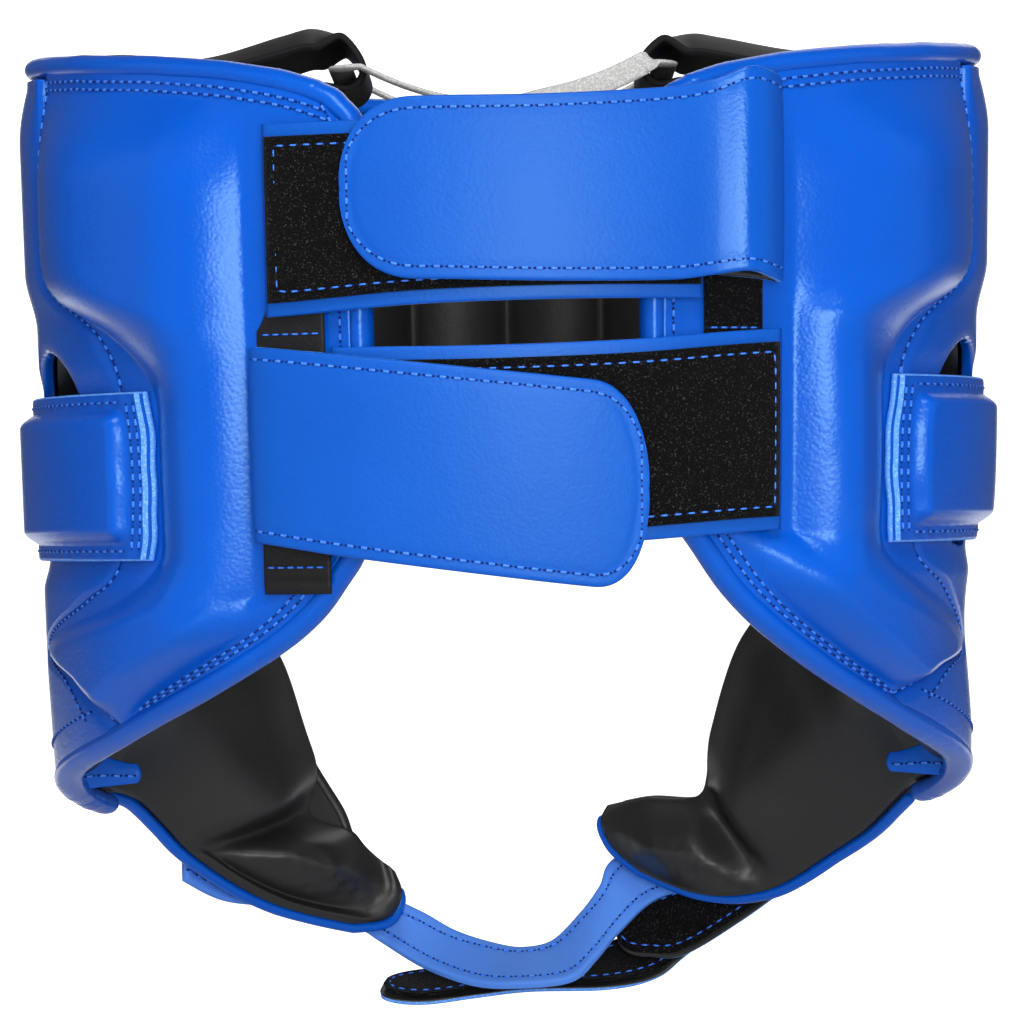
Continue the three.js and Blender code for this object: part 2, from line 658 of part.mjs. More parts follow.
// A place on a cheek guard, u from the ear panel to the chin tip and v from the face edge to the lower edge,
// kept an inset away from both edges and from the tip.
function cheekPlace(rows, u, v, inset, topInset = inset) {
  const rounding = CHEEK_TIP_ROUND * Math.abs(2 * v - 1) ** 3 * smoothstep(u, 0.85, 1);
  const along = u * (1 - (CHEEK_TIP_SHARE * inset) / CHEEK_INSET - rounding);
  const row = rowAt(rows, along);
  const length = Math.hypot((row.topPhi - row.lowPhi) * MM_PER_DEGREE, row.topZ - row.lowZ);
  const seamShare = smoothstep(along, CHEEK_SEAM_END, CHEEK_SEAM_END + 0.1);
  const fromTop = lerp(Math.min(topInset, 2 * GAP), topInset, seamShare) / length;
  const share = lerp(fromTop, 1 - inset / length, v);
  return {
    phi: lerp(row.topPhi, row.lowPhi, share),
    z: lerp(row.topZ, row.lowZ, share),
    fromTop: (share - fromTop) * length,
    fromLow: (1 - inset / length - share) * length,
  };
}

// How far the cheek padding has risen from its root at the ear panel and from its tip.
function cheekEnds(u) {
  return rise(u * CHEEK_ROOT_LENGTH, CHEEK_ROUNDING) * rise((1 - u) * CHEEK_TIP_LENGTH, CHEEK_ROUNDING);
}

function cheekPad(rows, side) {
  return slab(18, 4, (u, v, layer) => {
    const place = cheekPlace(rows, u, v, CHEEK_INSET);
    if (layer === 0) {
      return mirrored(wall(place.phi, place.z, SHELL_UNDERSIDE), side);
    }
    const height = lerp(CHEEK_PUFF, CHIN_LOBE_PUFF, smoothstep(u, 0.42, 0.58));
    const fromEdges = rise(place.fromTop, CHEEK_ROUNDING) * rise(place.fromLow, CHEEK_ROUNDING);
    const fromEnds = cheekEnds(u);
    return mirrored(wall(place.phi, place.z, height * fromEdges * fromEnds), side);
  });
}

function cheekLining(rows, side) {
  return slab(18, 4, (u, v, layer) => {
    const { top, low } = CHEEK_LINING_INSET;
    const notch = bySide(CHEEK_NOTCH, side) * Math.exp(-(((u - CHEEK_CREASE) / CHEEK_NOTCH.width) ** 2));
    const place = cheekPlace(rows, lerp(CHEEK_LINING_ROOT, 1, u), v, low, top + notch);
    if (layer === 1) {
      return mirrored(wall(place.phi, place.z, LINING_TOP), side);
    }
    const fromEdges = rise(place.fromTop, CHEEK_ROUNDING) * rise(place.fromLow, CHEEK_ROUNDING);
    const fromEnds = cheekEnds(u);
    const fromCrease = rise(Math.abs(u - CHEEK_CREASE) * CHEEK_CREASE_LENGTH, CHEEK_ROUNDING);
    const crease = lerp(CHEEK_CREASE_LEFT, 1, fromCrease);
    const puff = CHEEK_LINING_PUFF * fromEdges * fromEnds * crease;
    return mirrored(wall(place.phi, place.z, LINING_EDGE - puff), side);
  });
}

function topBinding() {
  const points = [];
  for (let i = 0; i <= ROLL_STEPS_TOP; i += 1) {
    const phi = lerp(TOP_BINDING_START, 360 - TOP_BINDING_START, i / ROLL_STEPS_TOP);
    const fromRear = phi > 180 ? 360 - phi : phi;
    points.push({ phi, z: heightAt(RIM, fromRear) - ROLL_HEIGHT_RADIUS });
  }
  const frames = bindingFrames(points, ROLL_OFFSET, ROLL_DEPTH_RADIUS, ROLL_HEIGHT_RADIUS, RIGHT);
  return tube(frames, ROLL_SIDES, false);
}

function edgeBinding(side) {
  const points = [];
  for (let i = 0; i <= ROLL_STEPS_EDGE; i += 1) {
    points.push(besideEdge(side, i * EDGE_STEP, 0));
  }
  const frames = bindingFrames(points, ROLL_OFFSET, ROLL_DEPTH_RADIUS, ROLL_HEIGHT_RADIUS, side);
  return tube(frames, ROLL_SIDES, false);
}

function pipingTube(points, side) {
  return tube(bindingFrames(points, PIPING_OFFSET, PIPING_RADIUS, PIPING_RADIUS, side), PIPING_SIDES, false);
}

function cheekPiping(rows, side) {
  const points = [];
  const steps = 16;
  for (let i = 0; i <= steps; i += 1) {
    points.push(cheekPlace(rows, lerp(CHEEK_PIPING_START, 1, i / steps), 1, PIPING_RADIUS + GAP));
  }
  for (const v of TIP_PIPING) {
    points.push(cheekPlace(rows, 1, v, PIPING_RADIUS + GAP));
  }
  return pipingTube(points, side);
}

// The face edge of one cheek, from the chin tip up to the corner of the face opening.
function faceEdge(rows) {
  const points = [];
  const steps = 14;
  for (let i = 0; i <= steps; i += 1) {
    const u = lerp(FACE_PIPING.tip, FACE_PIPING.corner, i / steps);
    points.push(cheekPlace(rows, u, 0, PIPING_RADIUS + GAP));
  }
  points.push(FACE_CORNER);
  return points;
}

function facePiping() {
  const points = faceEdge(RIGHT_CHEEK);
  const steps = 14;
  for (let i = 0; i <= steps; i += 1) {
    const phi = lerp(BROW_PIPING_START, 360 - BROW_PIPING_START, i / steps);
    points.push({ phi, z: heightAt(BROW, phi) - BROW_PIPING_DROP });
  }
  for (const point of faceEdge(LEFT_CHEEK).reverse()) {
    points.push({ phi: 360 - point.phi, z: point.z });
  }
  return pipingTube(points, RIGHT);
}

function earBand(side) {
  const { rear, front, z, halfHeight, flange, pad, bridge, bow } = EAR_BAND;
  return slab(10, 6, (u, v, layer) => {
    const phi = lerp(bySide(rear, side) + bow * (2 * v - 1) ** 2, front, u);
    const height = bySide(z, side) + halfHeight * (1 - 2 * v);
    const lift = GAP + bridge * Math.sin(Math.PI * u);
    const crownU = smoothstep(u, 0.1, 0.22) * (1 - smoothstep(u, 0.82, 0.94));
    const crownV = smoothstep(v, 0.1, 0.24) * (1 - smoothstep(v, 0.76, 0.9));
    const offset = layer === 0 ? lift : lift + flange + pad * crownU * crownV;
    return mirrored(wall(phi, height, offset), side);
  });
}

// A strap layer that follows the rear of the head form between two offsets.
function strapLayer(rows, low, high, insetX, insetZ, columns, tiers, endLift = 0) {
  const first = rows[0].x;
  const span = rows[rows.length - 1].x - first;
  return slab(columns, tiers, (u, v, layer) => {
    const t = lerp(insetX / span, 1 - insetX / span, u);
    const place = rowAt(rows, t);
    const z = lerp(place.top - insetZ, place.low + insetZ, v);
    const lift = endLift * (1 - smoothstep(z, ANCHOR_END.full, ANCHOR_END.start));
    return wall(phiAtX(first + span * t, (low + high) / 2), z, lift + (layer === 0 ? low : high));
  });
}

// A ribbon of even thickness about a middle surface given by middle(u, v), lifted along its normal.
function ribbon(columns, rows, thickness, lift, middle) {
  const step = 1e-3;
  return slab(columns, rows, (u, v, layer) => {
    const along = middle(Math.min(u + step, 1), v).sub(middle(Math.max(u - step, 0), v));
    const across = middle(u, Math.min(v + step, 1)).sub(middle(u, Math.max(v - step, 0)));
    const normal = along.cross(across).normalize();
    return middle(u, v).addScaledVector(normal, lift + (layer - 0.5) * thickness);
  });
}

function closingFlap(rows) {
  return ribbon(27, 2, FLAP_THICKNESS, 0, (u, v) => {
    const row = rowAt(rows, u);
    return wall(phiAtX(row.x, row.offset), lerp(row.top, row.low, v), row.offset);
  });
}

function crownTab(side) {
  const arch = bySide(CROWN_ARCH, side);
  return ribbon(16, 2, TAB_THICKNESS, 0, (u, v) => {
    const row = rowAt(CROWN_TAB, u);
    const across = 2 * v - 1;
    const rounding = CROWN_ROOT_BULGE * (1 - across ** 2) * (1 - smoothstep(u, 0, CROWN_ROOT_SHARE));
    const z = row.z > CROWN_TAB[0].z ? lerp(CROWN_TAB[0].z, row.z, arch) : row.z;
    const arched = smoothstep(u, 0.12, 0.35) * (1 - smoothstep(u, 0.5, 0.62));
    const drop = CROWN_SIDE_DROP * across ** 2 * arched;
    return new THREE.Vector3(side * (row.x + rounding), row.halfWidth * across, z - drop);
  });
}

// The lace: a flat loop through both hems, its two free strands sagging between the tabs.
function crownLace() {
  const { width, thickness, reach, spread, hemZ, sag, corner, sides } = LACE;
  const corners = [[-1, -1], [1, -1], [1, 1], [-1, 1]];
  const frames = [];
  const addFrame = (x, y, z, tangent) => {
    const acrossFlat = new THREE.Vector3(-tangent.y, tangent.x, 0).normalize();
    frames.push({
      middle: new THREE.Vector3(x, y, z),
      across: acrossFlat.multiplyScalar(width / 2),
      along: new THREE.Vector3(0, 0, thickness / 2),
    });
  };
  corners.forEach(([sx, sy], k) => {
    const [nx, ny] = corners[(k + 1) % 4];
    const start = Math.atan2(sy, sx) - Math.PI / 4;
    for (let i = 0; i <= 2; i += 1) {
      const angle = start + (i * Math.PI) / 4;
      const x = sx * (reach - corner) + corner * Math.cos(angle);
      const y = sy * (spread - corner) + corner * Math.sin(angle);
      addFrame(x, y, hemZ, new THREE.Vector3(-Math.sin(angle), Math.cos(angle), 0));
    }
    const strand = sy === ny;
    for (let i = 1; i < 5; i += 1) {
      const f = i / 5;
      const x = lerp(sx * (reach - corner), nx * (reach - corner), f);
      const y = lerp(sy * (spread - corner), ny * (spread - corner), f);
      const edge = strand ? sy * corner : 0;
      const outer = strand ? 0 : sx * corner;
      const z = hemZ - (strand ? sag * 4 * f * (1 - f) : 0);
      addFrame(x + outer, y + edge, z, new THREE.Vector3(nx - sx, ny - sy, 0));
    }
  });
  return tube(frames, sides, true);
}

// A row of a chin strap that hugs the outside of a cheek.
function hug(side, phi, offset, topZ, lowZ) {
  const top = mirrored(wall(phi, topZ, offset), side);
  const low = mirrored(wall(phi, lowZ, offset), side);
  return { tx: top.x, ty: top.y, tz: top.z, lx: low.x, ly: low.y, lz: low.z };
}

const CHIN_STRAP = [
  hug(LEFT, 131, 4.4, -178, -198.5),
  hug(LEFT, 138, 4.4, -184.5, -204.5),
  hug(LEFT, 147, 4.4, -193.5, -207.5),
  hug(LEFT, 157, 5, -200.5, -212.5),
  { tx: -26.5, ty: 110, tz: -209.6, lx: -36.1, ly: 106, lz: -217.6 },
  { tx: -15.9, ty: 109, tz: -215.8, lx: -24.4, ly: 100, lz: -224.1 },
  { tx: -4.5, ty: 108, tz: -219.6, lx: -11.2, ly: 93, lz: -228.1 },
  { tx: 2.6, ty: 107, tz: -220.4, lx: 1.3, ly: 90, lz: -228.5 },
  { tx: 10, ty: 107, tz: -218.4, lx: 14.1, ly: 91, lz: -227.2 },
  { tx: 17.7, ty: 107.5, tz: -210.8, lx: 20.9, ly: 95, lz: -222 },
  { tx: 22.2, ty: 108.5, tz: -204.5, lx: 27.6, ly: 101, lz: -215.2 },
  { tx: 27, ty: 109.5, tz: -196.5, lx: 36.9, ly: 104.5, lz: -207.7 },
  hug(RIGHT, 154, 4.8, -187, -204),
  hug(RIGHT, 146, 4.4, -181, -199),
  hug(RIGHT, 138, 4.4, -177, -196),
];

const CHIN_TAB = [
  hug(RIGHT, 142, 8.6, -187, -203),
  hug(RIGHT, 150, 8.6, -196, -213.5),
  hug(RIGHT, 158, 8.8, -203, -222.5),
  hug(RIGHT, 163, 9, -208, -222.5),
  hug(RIGHT, 166, 9, -212.5, -219),
];

const CHIN_TAIL = [
  hug(RIGHT, 140, 12, -188, -202),
  hug(RIGHT, 148, 12.2, -195, -209.5),
  { tx: 43, ty: 112.5, tz: -207, lx: 46, ly: 109, lz: -222 },
  { tx: 31, ty: 118, tz: -217.5, lx: 37, ly: 109, lz: -228.6 },
  { tx: 17, ty: 120, tz: -223.3, lx: 24, ly: 104, lz: -230.8 },
  { tx: 1.3, ty: 120, tz: -225, lx: 3, ly: 102, lz: -230.8 },
  { tx: -10.7, ty: 119, tz: -226.5, lx: -11, ly: 100, lz: -232 },
  { tx: -23.2, ty: 116, tz: -227.6, lx: -23.9, ly: 98, lz: -233.3 },
  { tx: -35.8, ty: 106, tz: -230, lx: -36.5, ly: 101.5, lz: -230.8 },
];

// A strap given by rows of its two edges, drawn in from the edges and the end by an inset share.
function edgedStrap(rows, columns, thickness, lift, inset) {
  return ribbon(columns, 2, thickness, lift, (u, v) => {
    const row = rowAt(rows, lerp(0, 1 - inset, u));
    const top = new THREE.Vector3(row.tx, row.ty, row.tz);
    const low = new THREE.Vector3(row.lx, row.ly, row.lz);
    return top.lerp(low, lerp(inset, 1 - inset, v));
  });
}

for (const [word, side, cheek] of [['left', LEFT, LEFT_CHEEK], ['right', RIGHT, RIGHT_CHEEK]]) {
  addPiece(`${word}_back_panel`, backPanel(side), blueLeather());
  addPiece(`${word}_ear_panel`, earPanel(side), blueLeather());
  addPiece(`${word}_lining`, sideLining(side), blackLeather());
  addPiece(`${word}_cheek_pad`, cheekPad(cheek, side), blueLeather());
  addPiece(`${word}_cheek_lining`, cheekLining(cheek, side), blackLeather());
  addPiece(`${word}_edge_binding`, edgeBinding(side), blueLeather());
  addPiece(`${word}_cheek_piping`, cheekPiping(cheek, side), blueLeather());
  addPiece(`${word}_ear_band`, earBand(side), blueLeather());
  addPiece(`${word}_crown_tab`, crownTab(side), blackLeather());
}

addPiece('forehead_pad', foreheadPad(), blueLeather());
addPiece('forehead_lining', foreheadLining(), blackLeather());
addPiece('top_binding', topBinding(), blueLeather());
addPiece('face_piping', facePiping(), blackLeather());
addPiece('crown_lace', crownLace(), whiteLace());

for (const [word, rows, tiers, endLift] of [['left', LEFT_ANCHOR, 10, 0.8], ['right', RIGHT_ANCHOR, 6, 0]]) {
  const anchor = strapLayer(rows, ANCHOR.low, ANCHOR.high, 0, 0, 2, tiers, endLift);
  addPiece(`${word}_strap_anchor`, anchor, blackLeather());
}
for (const [word, base, flap] of [['upper', UPPER_BASE, UPPER_FLAP], ['lower', LOWER_BASE, LOWER_FLAP]]) {
  const leather = strapLayer(base, BASE_STRAP.low, BASE_STRAP.high, 0, 0, 10, 2);
  addPiece(`${word}_base_strap`, leather, blueLeather());
  const { low, high, insetX, insetZ } = LOOP_TAPE;
  const tape = strapLayer(base, low, high, insetX, insetZ, 10, 2);
  addPiece(`${word}_loop_tape`, tape, loopPile());
  addPiece(`${word}_flap`, closingFlap(flap), blueLeather());
}

addPiece('chin_strap', edgedStrap(CHIN_STRAP, 28, CHIN_STRAP_THICKNESS, 0, 0), blueLeather());
addPiece('chin_tab', edgedStrap(CHIN_TAB, 8, CHIN_BACKING_THICKNESS, 0, 0), blueLeather());
addPiece('chin_tab_tape', edgedStrap(CHIN_TAB, 8, CHIN_TAPE_THICKNESS, CHIN_TAPE_LIFT, 0.06), loopPile());
addPiece('chin_tail', edgedStrap(CHIN_TAIL, 16, CHIN_BACKING_THICKNESS, 0, 0), blueLeather());
addPiece('chin_tail_tape', edgedStrap(CHIN_TAIL, 16, CHIN_TAPE_THICKNESS, CHIN_TAPE_LIFT, 0.05), loopPile());

export default group;
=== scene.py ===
# %% [markdown]
# # A padded head guard, seen from behind
# The solids of the head guard come in as a fixed frame, one node for each sewn piece. This lesson dresses
# every node with the leather, padding, tape and thread that the real one has. All shapes are worked out with
# numpy in millimetres, on the same oval head form as the solids, and are put into meshes in metres.

import math

import bpy
import numpy as np
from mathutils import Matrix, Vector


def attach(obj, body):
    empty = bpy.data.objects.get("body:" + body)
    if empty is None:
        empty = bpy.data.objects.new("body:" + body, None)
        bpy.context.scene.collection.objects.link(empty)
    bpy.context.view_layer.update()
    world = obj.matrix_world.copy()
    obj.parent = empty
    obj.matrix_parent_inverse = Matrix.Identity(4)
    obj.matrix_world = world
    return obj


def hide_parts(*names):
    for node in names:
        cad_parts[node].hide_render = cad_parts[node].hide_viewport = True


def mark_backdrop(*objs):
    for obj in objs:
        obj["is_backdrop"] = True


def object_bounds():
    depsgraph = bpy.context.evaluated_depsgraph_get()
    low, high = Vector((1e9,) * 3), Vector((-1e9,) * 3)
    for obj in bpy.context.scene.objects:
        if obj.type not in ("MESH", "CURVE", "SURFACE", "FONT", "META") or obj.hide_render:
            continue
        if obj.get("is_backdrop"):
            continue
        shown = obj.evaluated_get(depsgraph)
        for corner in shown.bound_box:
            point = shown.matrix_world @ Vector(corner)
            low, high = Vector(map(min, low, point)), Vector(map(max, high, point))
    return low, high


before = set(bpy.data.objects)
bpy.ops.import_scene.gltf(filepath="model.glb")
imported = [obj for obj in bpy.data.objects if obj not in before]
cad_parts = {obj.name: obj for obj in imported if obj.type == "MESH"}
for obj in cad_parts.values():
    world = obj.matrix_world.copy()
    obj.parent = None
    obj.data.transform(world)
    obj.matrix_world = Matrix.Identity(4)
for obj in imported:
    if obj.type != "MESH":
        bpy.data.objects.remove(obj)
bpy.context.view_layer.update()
print("nodes in the frame:", len(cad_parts))

# %% [markdown]
# ## The head form
# Every panel lies on one oval wall around the head. A point of it is named by its plan angle, 0 at the rear,
# 90 at the ear and 180 at the front, and by its height. Working in those two numbers, instead of modelling in
# space, keeps each seam a plain line and lets neighbouring panels meet exactly.

# %% Head form
MM = 0.001
LEFT, RIGHT = -1, 1
SIDES = ((LEFT, "left"), (RIGHT, "right"))
MM_PER_DEGREE = 1.95


def smooth(x, low, high):
    """0 below low, 1 above high, and an S-curve 3t^2 - 2t^3 between."""
    t = np.clip((np.asarray(x, float) - low) / (high - low), 0, 1)
    return t * t * (3 - 2 * t)


def swell(distance, rounding):
    """Soft rise of padding from a seam: a quarter of a sine wave over the rounding distance."""
    return np.sin(np.pi / 2 * np.clip(np.asarray(distance, float) / rounding, 0, 1))


def mix(a, b, share):
    """The value that lies a share of the way from a to b."""
    return a + (b - a) * share


def rows_at(table, t):
    """A smooth row of a table at t from 0 to 1: a Catmull-Rom curve through the rows, evenly spaced."""
    table = np.asarray(table, float)
    last = len(table) - 1
    place = np.clip(np.asarray(t, float), 0, 1) * last
    i = np.minimum(place.astype(int), last - 1)
    f = (place - i)[..., None]
    a, b = table[np.maximum(i - 1, 0)], table[i]
    c, d = table[i + 1], table[np.minimum(i + 2, last)]
    bend = 3 * (c - b) - (c - a) - (d - b) / 2
    return b + (c - a) / 2 * f + bend * f**2 + (2 * b - 2 * c + (c - a) / 2 + (d - b) / 2) * f**3


def height_at(table, phi):
    """Height over the plan angle, from a table of angle and height."""
    table = np.asarray(table, float)
    return rows_at(table, np.interp(phi, table[:, 0], np.linspace(0, 1, len(table))))[..., 1]


HALF_WIDTH, REAR_DEPTH, FRONT_DEPTH = 114, 109, 116
DRAWN_IN, BELL_Z, BELL_REACH = {LEFT: 0.0, RIGHT: 3.2}, -132, 20


def wall(phi, z, offset, side=RIGHT):
    """A point of the oval wall: x = a sin(phi), y = -b cos(phi), moved outward by offset along the oval's normal.
    a grows a little with height, and b falls off with the square of the height, to the rear and to the front.
    Below the ear band the right side is drawn in by a soft bell of a few millimetres."""
    phi, z, offset = np.broadcast_arrays(*(np.asarray(q, float) for q in (phi, z, offset)))
    a = HALF_WIDTH + 0.026 * z
    s, c = np.sin(np.radians(phi)), np.cos(np.radians(phi))
    b = np.where(c > 0, REAR_DEPTH - 0.0009 * (z + 50) ** 2, FRONT_DEPTH - 0.0006 * (z + 80) ** 2)
    nx, ny = s / a, -c / b
    length = np.hypot(nx, ny)
    x, y = a * s + offset * nx / length, -b * c + offset * ny / length
    bell = np.exp(-(((z - BELL_Z) / BELL_REACH) ** 2)) * np.clip(x / HALF_WIDTH, 0, 1) ** 3 * (1 - smooth(y, 10, 55))
    return np.stack([side * (x - DRAWN_IN[side] * bell), y, z], -1)


print("rear of the wall at mid height, mm:", np.round(wall(0, -80, 0), 1))

# %% [markdown]
# ## Turning grids into meshes
# Blender's own modelling tools would need many hand moves here. Instead, two grids of points, an outer and an
# inner one, are closed into one body by their shared border, and a ring carried along a path makes a roll.
# foreach_set writes whole arrays into the mesh, which is far quicker than one vertex at a time.

# %% Mesh builders


def add_mesh(name, points, faces, materials, slots=None):
    """A mesh from points in mm and arrays of faces, turned so that its enclosed volume is positive."""
    slots = slots or [0] * len(faces)
    used = np.unique(np.concatenate([f.ravel() for f in faces]))
    number = np.zeros(len(points), int)
    number[used] = np.arange(len(used))
    points = points[used]
    faces = [number[f] for f in faces]
    thirds = [f[:, [0, k, k + 1]] for f in faces for k in range(1, f.shape[1] - 1)]
    a, b, c = (points[np.concatenate(thirds)[:, k]] for k in range(3))
    if (a * np.cross(b, c)).sum() < 0:
        faces = [f[:, ::-1] for f in faces]
    mesh = bpy.data.meshes.new(name)
    mesh.vertices.add(len(points))
    mesh.vertices.foreach_set("co", (points * MM).astype(np.float32).ravel())
    loops = np.concatenate([f.ravel() for f in faces]).astype(np.int32)
    sizes = np.concatenate([np.full(len(f), f.shape[1]) for f in faces])
    mesh.loops.add(len(loops))
    mesh.loops.foreach_set("vertex_index", loops)
    mesh.polygons.add(len(sizes))
    mesh.polygons.foreach_set("loop_start", np.concatenate([[0], np.cumsum(sizes)[:-1]]).astype(np.int32))
    mesh.polygons.foreach_set("use_smooth", np.ones(len(sizes), bool))
    index = np.concatenate([np.full(len(f), s) for f, s in zip(faces, slots)]).astype(np.int32)
    mesh.polygons.foreach_set("material_index", index)
    mesh.update(calc_edges=True)
    mesh.validate()
    for material in materials:
        mesh.materials.append(material)
    piece = bpy.data.objects.new(name, mesh)
    bpy.context.scene.collection.objects.link(piece)
    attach(piece, "root")
    return piece


def dress(name, node, points, faces, materials, slots=None, slot="blue_leather", fill=None):
    """A mesh that replaces a node of the frame, which is hidden, with its materials in their slots. slot and fill are
    not used.
    """
    piece = add_mesh(name, points, faces, materials, slots)
    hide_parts(node)
    print(name, "faces:", len(piece.data.polygons))
    return piece


def slab(outer, inner, kept=None):
    """A closed body between two grids of the same size. kept marks the cells that stay, and a wall is put on
    every border between a kept cell and a cut one. Returns points and the outer, inner and wall faces."""
    rows, columns = outer.shape[:2]
    size = rows * columns
    n = np.arange(size).reshape(rows, columns)
    kept = np.ones((rows - 1, columns - 1), bool) if kept is None else kept
    top = np.stack([n[:-1, :-1][kept], n[:-1, 1:][kept], n[1:, 1:][kept], n[1:, :-1][kept]], 1)
    around = np.pad(kept, 1)
    west, east = around[1:-1, :-1], around[1:-1, 1:]
    north, south = around[:-1, 1:-1], around[1:, 1:-1]
    edges = [
        (n[1:][west & ~east], n[:-1][west & ~east]),
        (n[:-1][~west & east], n[1:][~west & east]),
        (n[:, :-1][north & ~south], n[:, 1:][north & ~south]),
        (n[:, 1:][~north & south], n[:, :-1][~north & south]),
    ]
    start, end = (np.concatenate([e[k] for e in edges]) for k in (0, 1))
    walls = np.stack([start, end, end + size, start + size], 1)
    points = np.concatenate([outer.reshape(-1, 3), inner.reshape(-1, 3)])
    return points, [top, top[:, ::-1] + size, walls]


def sweep(rings, closed=False):
    """A body from rings of points, each joined to the next. An open one is closed by a fan at each end."""
    count, sides = rings.shape[:2]
    n = np.arange(count * sides).reshape(count, sides)
    near, far = (n, np.roll(n, -1, 0)) if closed else (n[:-1], n[1:])
    quads = np.stack([near, np.roll(near, -1, 1), np.roll(far, -1, 1), far], -1).reshape(-1, 4)
    points = rings.reshape(-1, 3)
    if closed:
        return points, [quads]
    ends = np.stack([rings[0].mean(0), rings[-1].mean(0)])
    first = np.stack([np.roll(n[0], -1), n[0], np.full(sides, count * sides)], 1)
    last = np.stack([n[-1], np.roll(n[-1], -1), np.full(sides, count * sides + 1)], 1)
    return np.concatenate([points, ends]), [quads, np.concatenate([first, last])]


def unit(v):
    """Vectors scaled to a length of 1."""
    return v / np.maximum(np.linalg.norm(v, axis=-1, keepdims=True), 1e-9)


def along_path(path, closed=False):
    """Unit tangents of a path, by central differences."""
    if closed:
        return unit(np.roll(path, -1, 0) - np.roll(path, 1, 0))
    return unit(np.gradient(path, axis=0))


def spaced(path, step):
    """The path again, with points evenly spaced by about step along its length."""
    run = np.concatenate([[0], np.cumsum(np.linalg.norm(np.diff(path, axis=0), axis=1))])
    at = np.linspace(0, run[-1], max(int(round(run[-1] / step)), 2) + 1)
    return np.stack([np.interp(at, run, path[:, k]) for k in range(path.shape[1])], 1)


def roll_rings(path, outward, deep, high, sides, dent):
    """Rings of a round roll along a path: an ellipse with half axes deep (outward) and high (along the wall).
    The ends are domes: five more rings that shrink as a quarter circle. dent scales each ring's size."""
    tangent = along_path(path)
    outward = unit(outward - (outward * tangent).sum(-1, keepdims=True) * tangent)
    edgeward = np.cross(tangent, outward)
    bow = np.linspace(0, np.pi / 2, 6)[1:] * 0.97
    start = path[0] - tangent[0] * high * np.sin(bow[::-1])[:, None]
    end = path[-1] + tangent[-1] * high * np.sin(bow)[:, None]
    middle = np.concatenate([start, path, end])
    pad = ((5, 5), (0, 0))
    outward, edgeward = np.pad(outward, pad, "edge"), np.pad(edgeward, pad, "edge")
    size = np.concatenate([np.cos(bow[::-1]), dent, np.cos(bow)])
    angle = np.linspace(0, 2 * np.pi, sides, endpoint=False)
    ring = deep * np.cos(angle)[:, None] * outward[:, None] + high * np.sin(angle)[:, None] * edgeward[:, None]
    return middle[:, None] + ring * size[:, None, None]


LUMP_WAVES = 7


def lumps(points, size, seed):
    """Gentle unevenness from -1 to 1: the mean of a few sine waves of about that size in fixed random directions."""
    pick = np.random.default_rng(seed)
    ways = unit(pick.normal(size=(LUMP_WAVES, 3)))
    ways = ways * (2 * np.pi / (size * pick.uniform(0.7, 1.5, (LUMP_WAVES, 1))))
    return np.sin(points @ ways.T + pick.uniform(0, 2 * np.pi, LUMP_WAVES)).mean(-1) * 1.6


print("mesh builders ready")

# %% [markdown]
# ## Materials
# The guard is sewn from PU leather, a polyurethane skin with a moulded pebble grain on a fabric backing. The
# outside is blue with a satin gloss, the inside black. The closures are brushed nylon loop tape, and the crown is
# laced with a flat woven cord. Each colour is an sRGB hex value, turned to linear light by one function.

# %% Colour and node helpers


def linear(hex_colour):
    """sRGB hex to linear RGBA: each channel c becomes ((c + 0.055) / 1.055)^2.4, or c / 12.92 when very dark."""
    c = np.array([int(hex_colour[i : i + 2], 16) / 255 for i in (1, 3, 5)])
    rgb = np.where(c > 0.04045, ((c + 0.055) / 1.055) ** 2.4, c / 12.92)
    return (*(float(v) for v in rgb), 1.0)


def set_inputs(tree, node, inputs):
    """Each socket of a node gets a value, or a link where another socket is given."""
    for socket, value in inputs.items():
        if isinstance(value, bpy.types.NodeSocket):
            tree.links.new(value, node.inputs[socket])
        else:
            node.inputs[socket].default_value = value


def add_node(tree, kind, inputs=None, **settings):
    """A node of that kind. settings are its properties, and inputs maps a socket to a value or to another socket."""
    made = tree.nodes.new(kind)
    for key, value in settings.items():
        setattr(made, key, value)
    set_inputs(tree, made, inputs or {})
    return made


def new_material(name):
    """An empty material with its Principled shader, and the Object coordinates that every pattern reads."""
    material = bpy.data.materials.new(name)
    material.use_nodes = True
    tree = material.node_tree
    place = add_node(tree, "ShaderNodeTexCoord").outputs["Object"]
    return material, tree, tree.nodes["Principled BSDF"], place


# %% PU leather
DRIFT_MM = 38


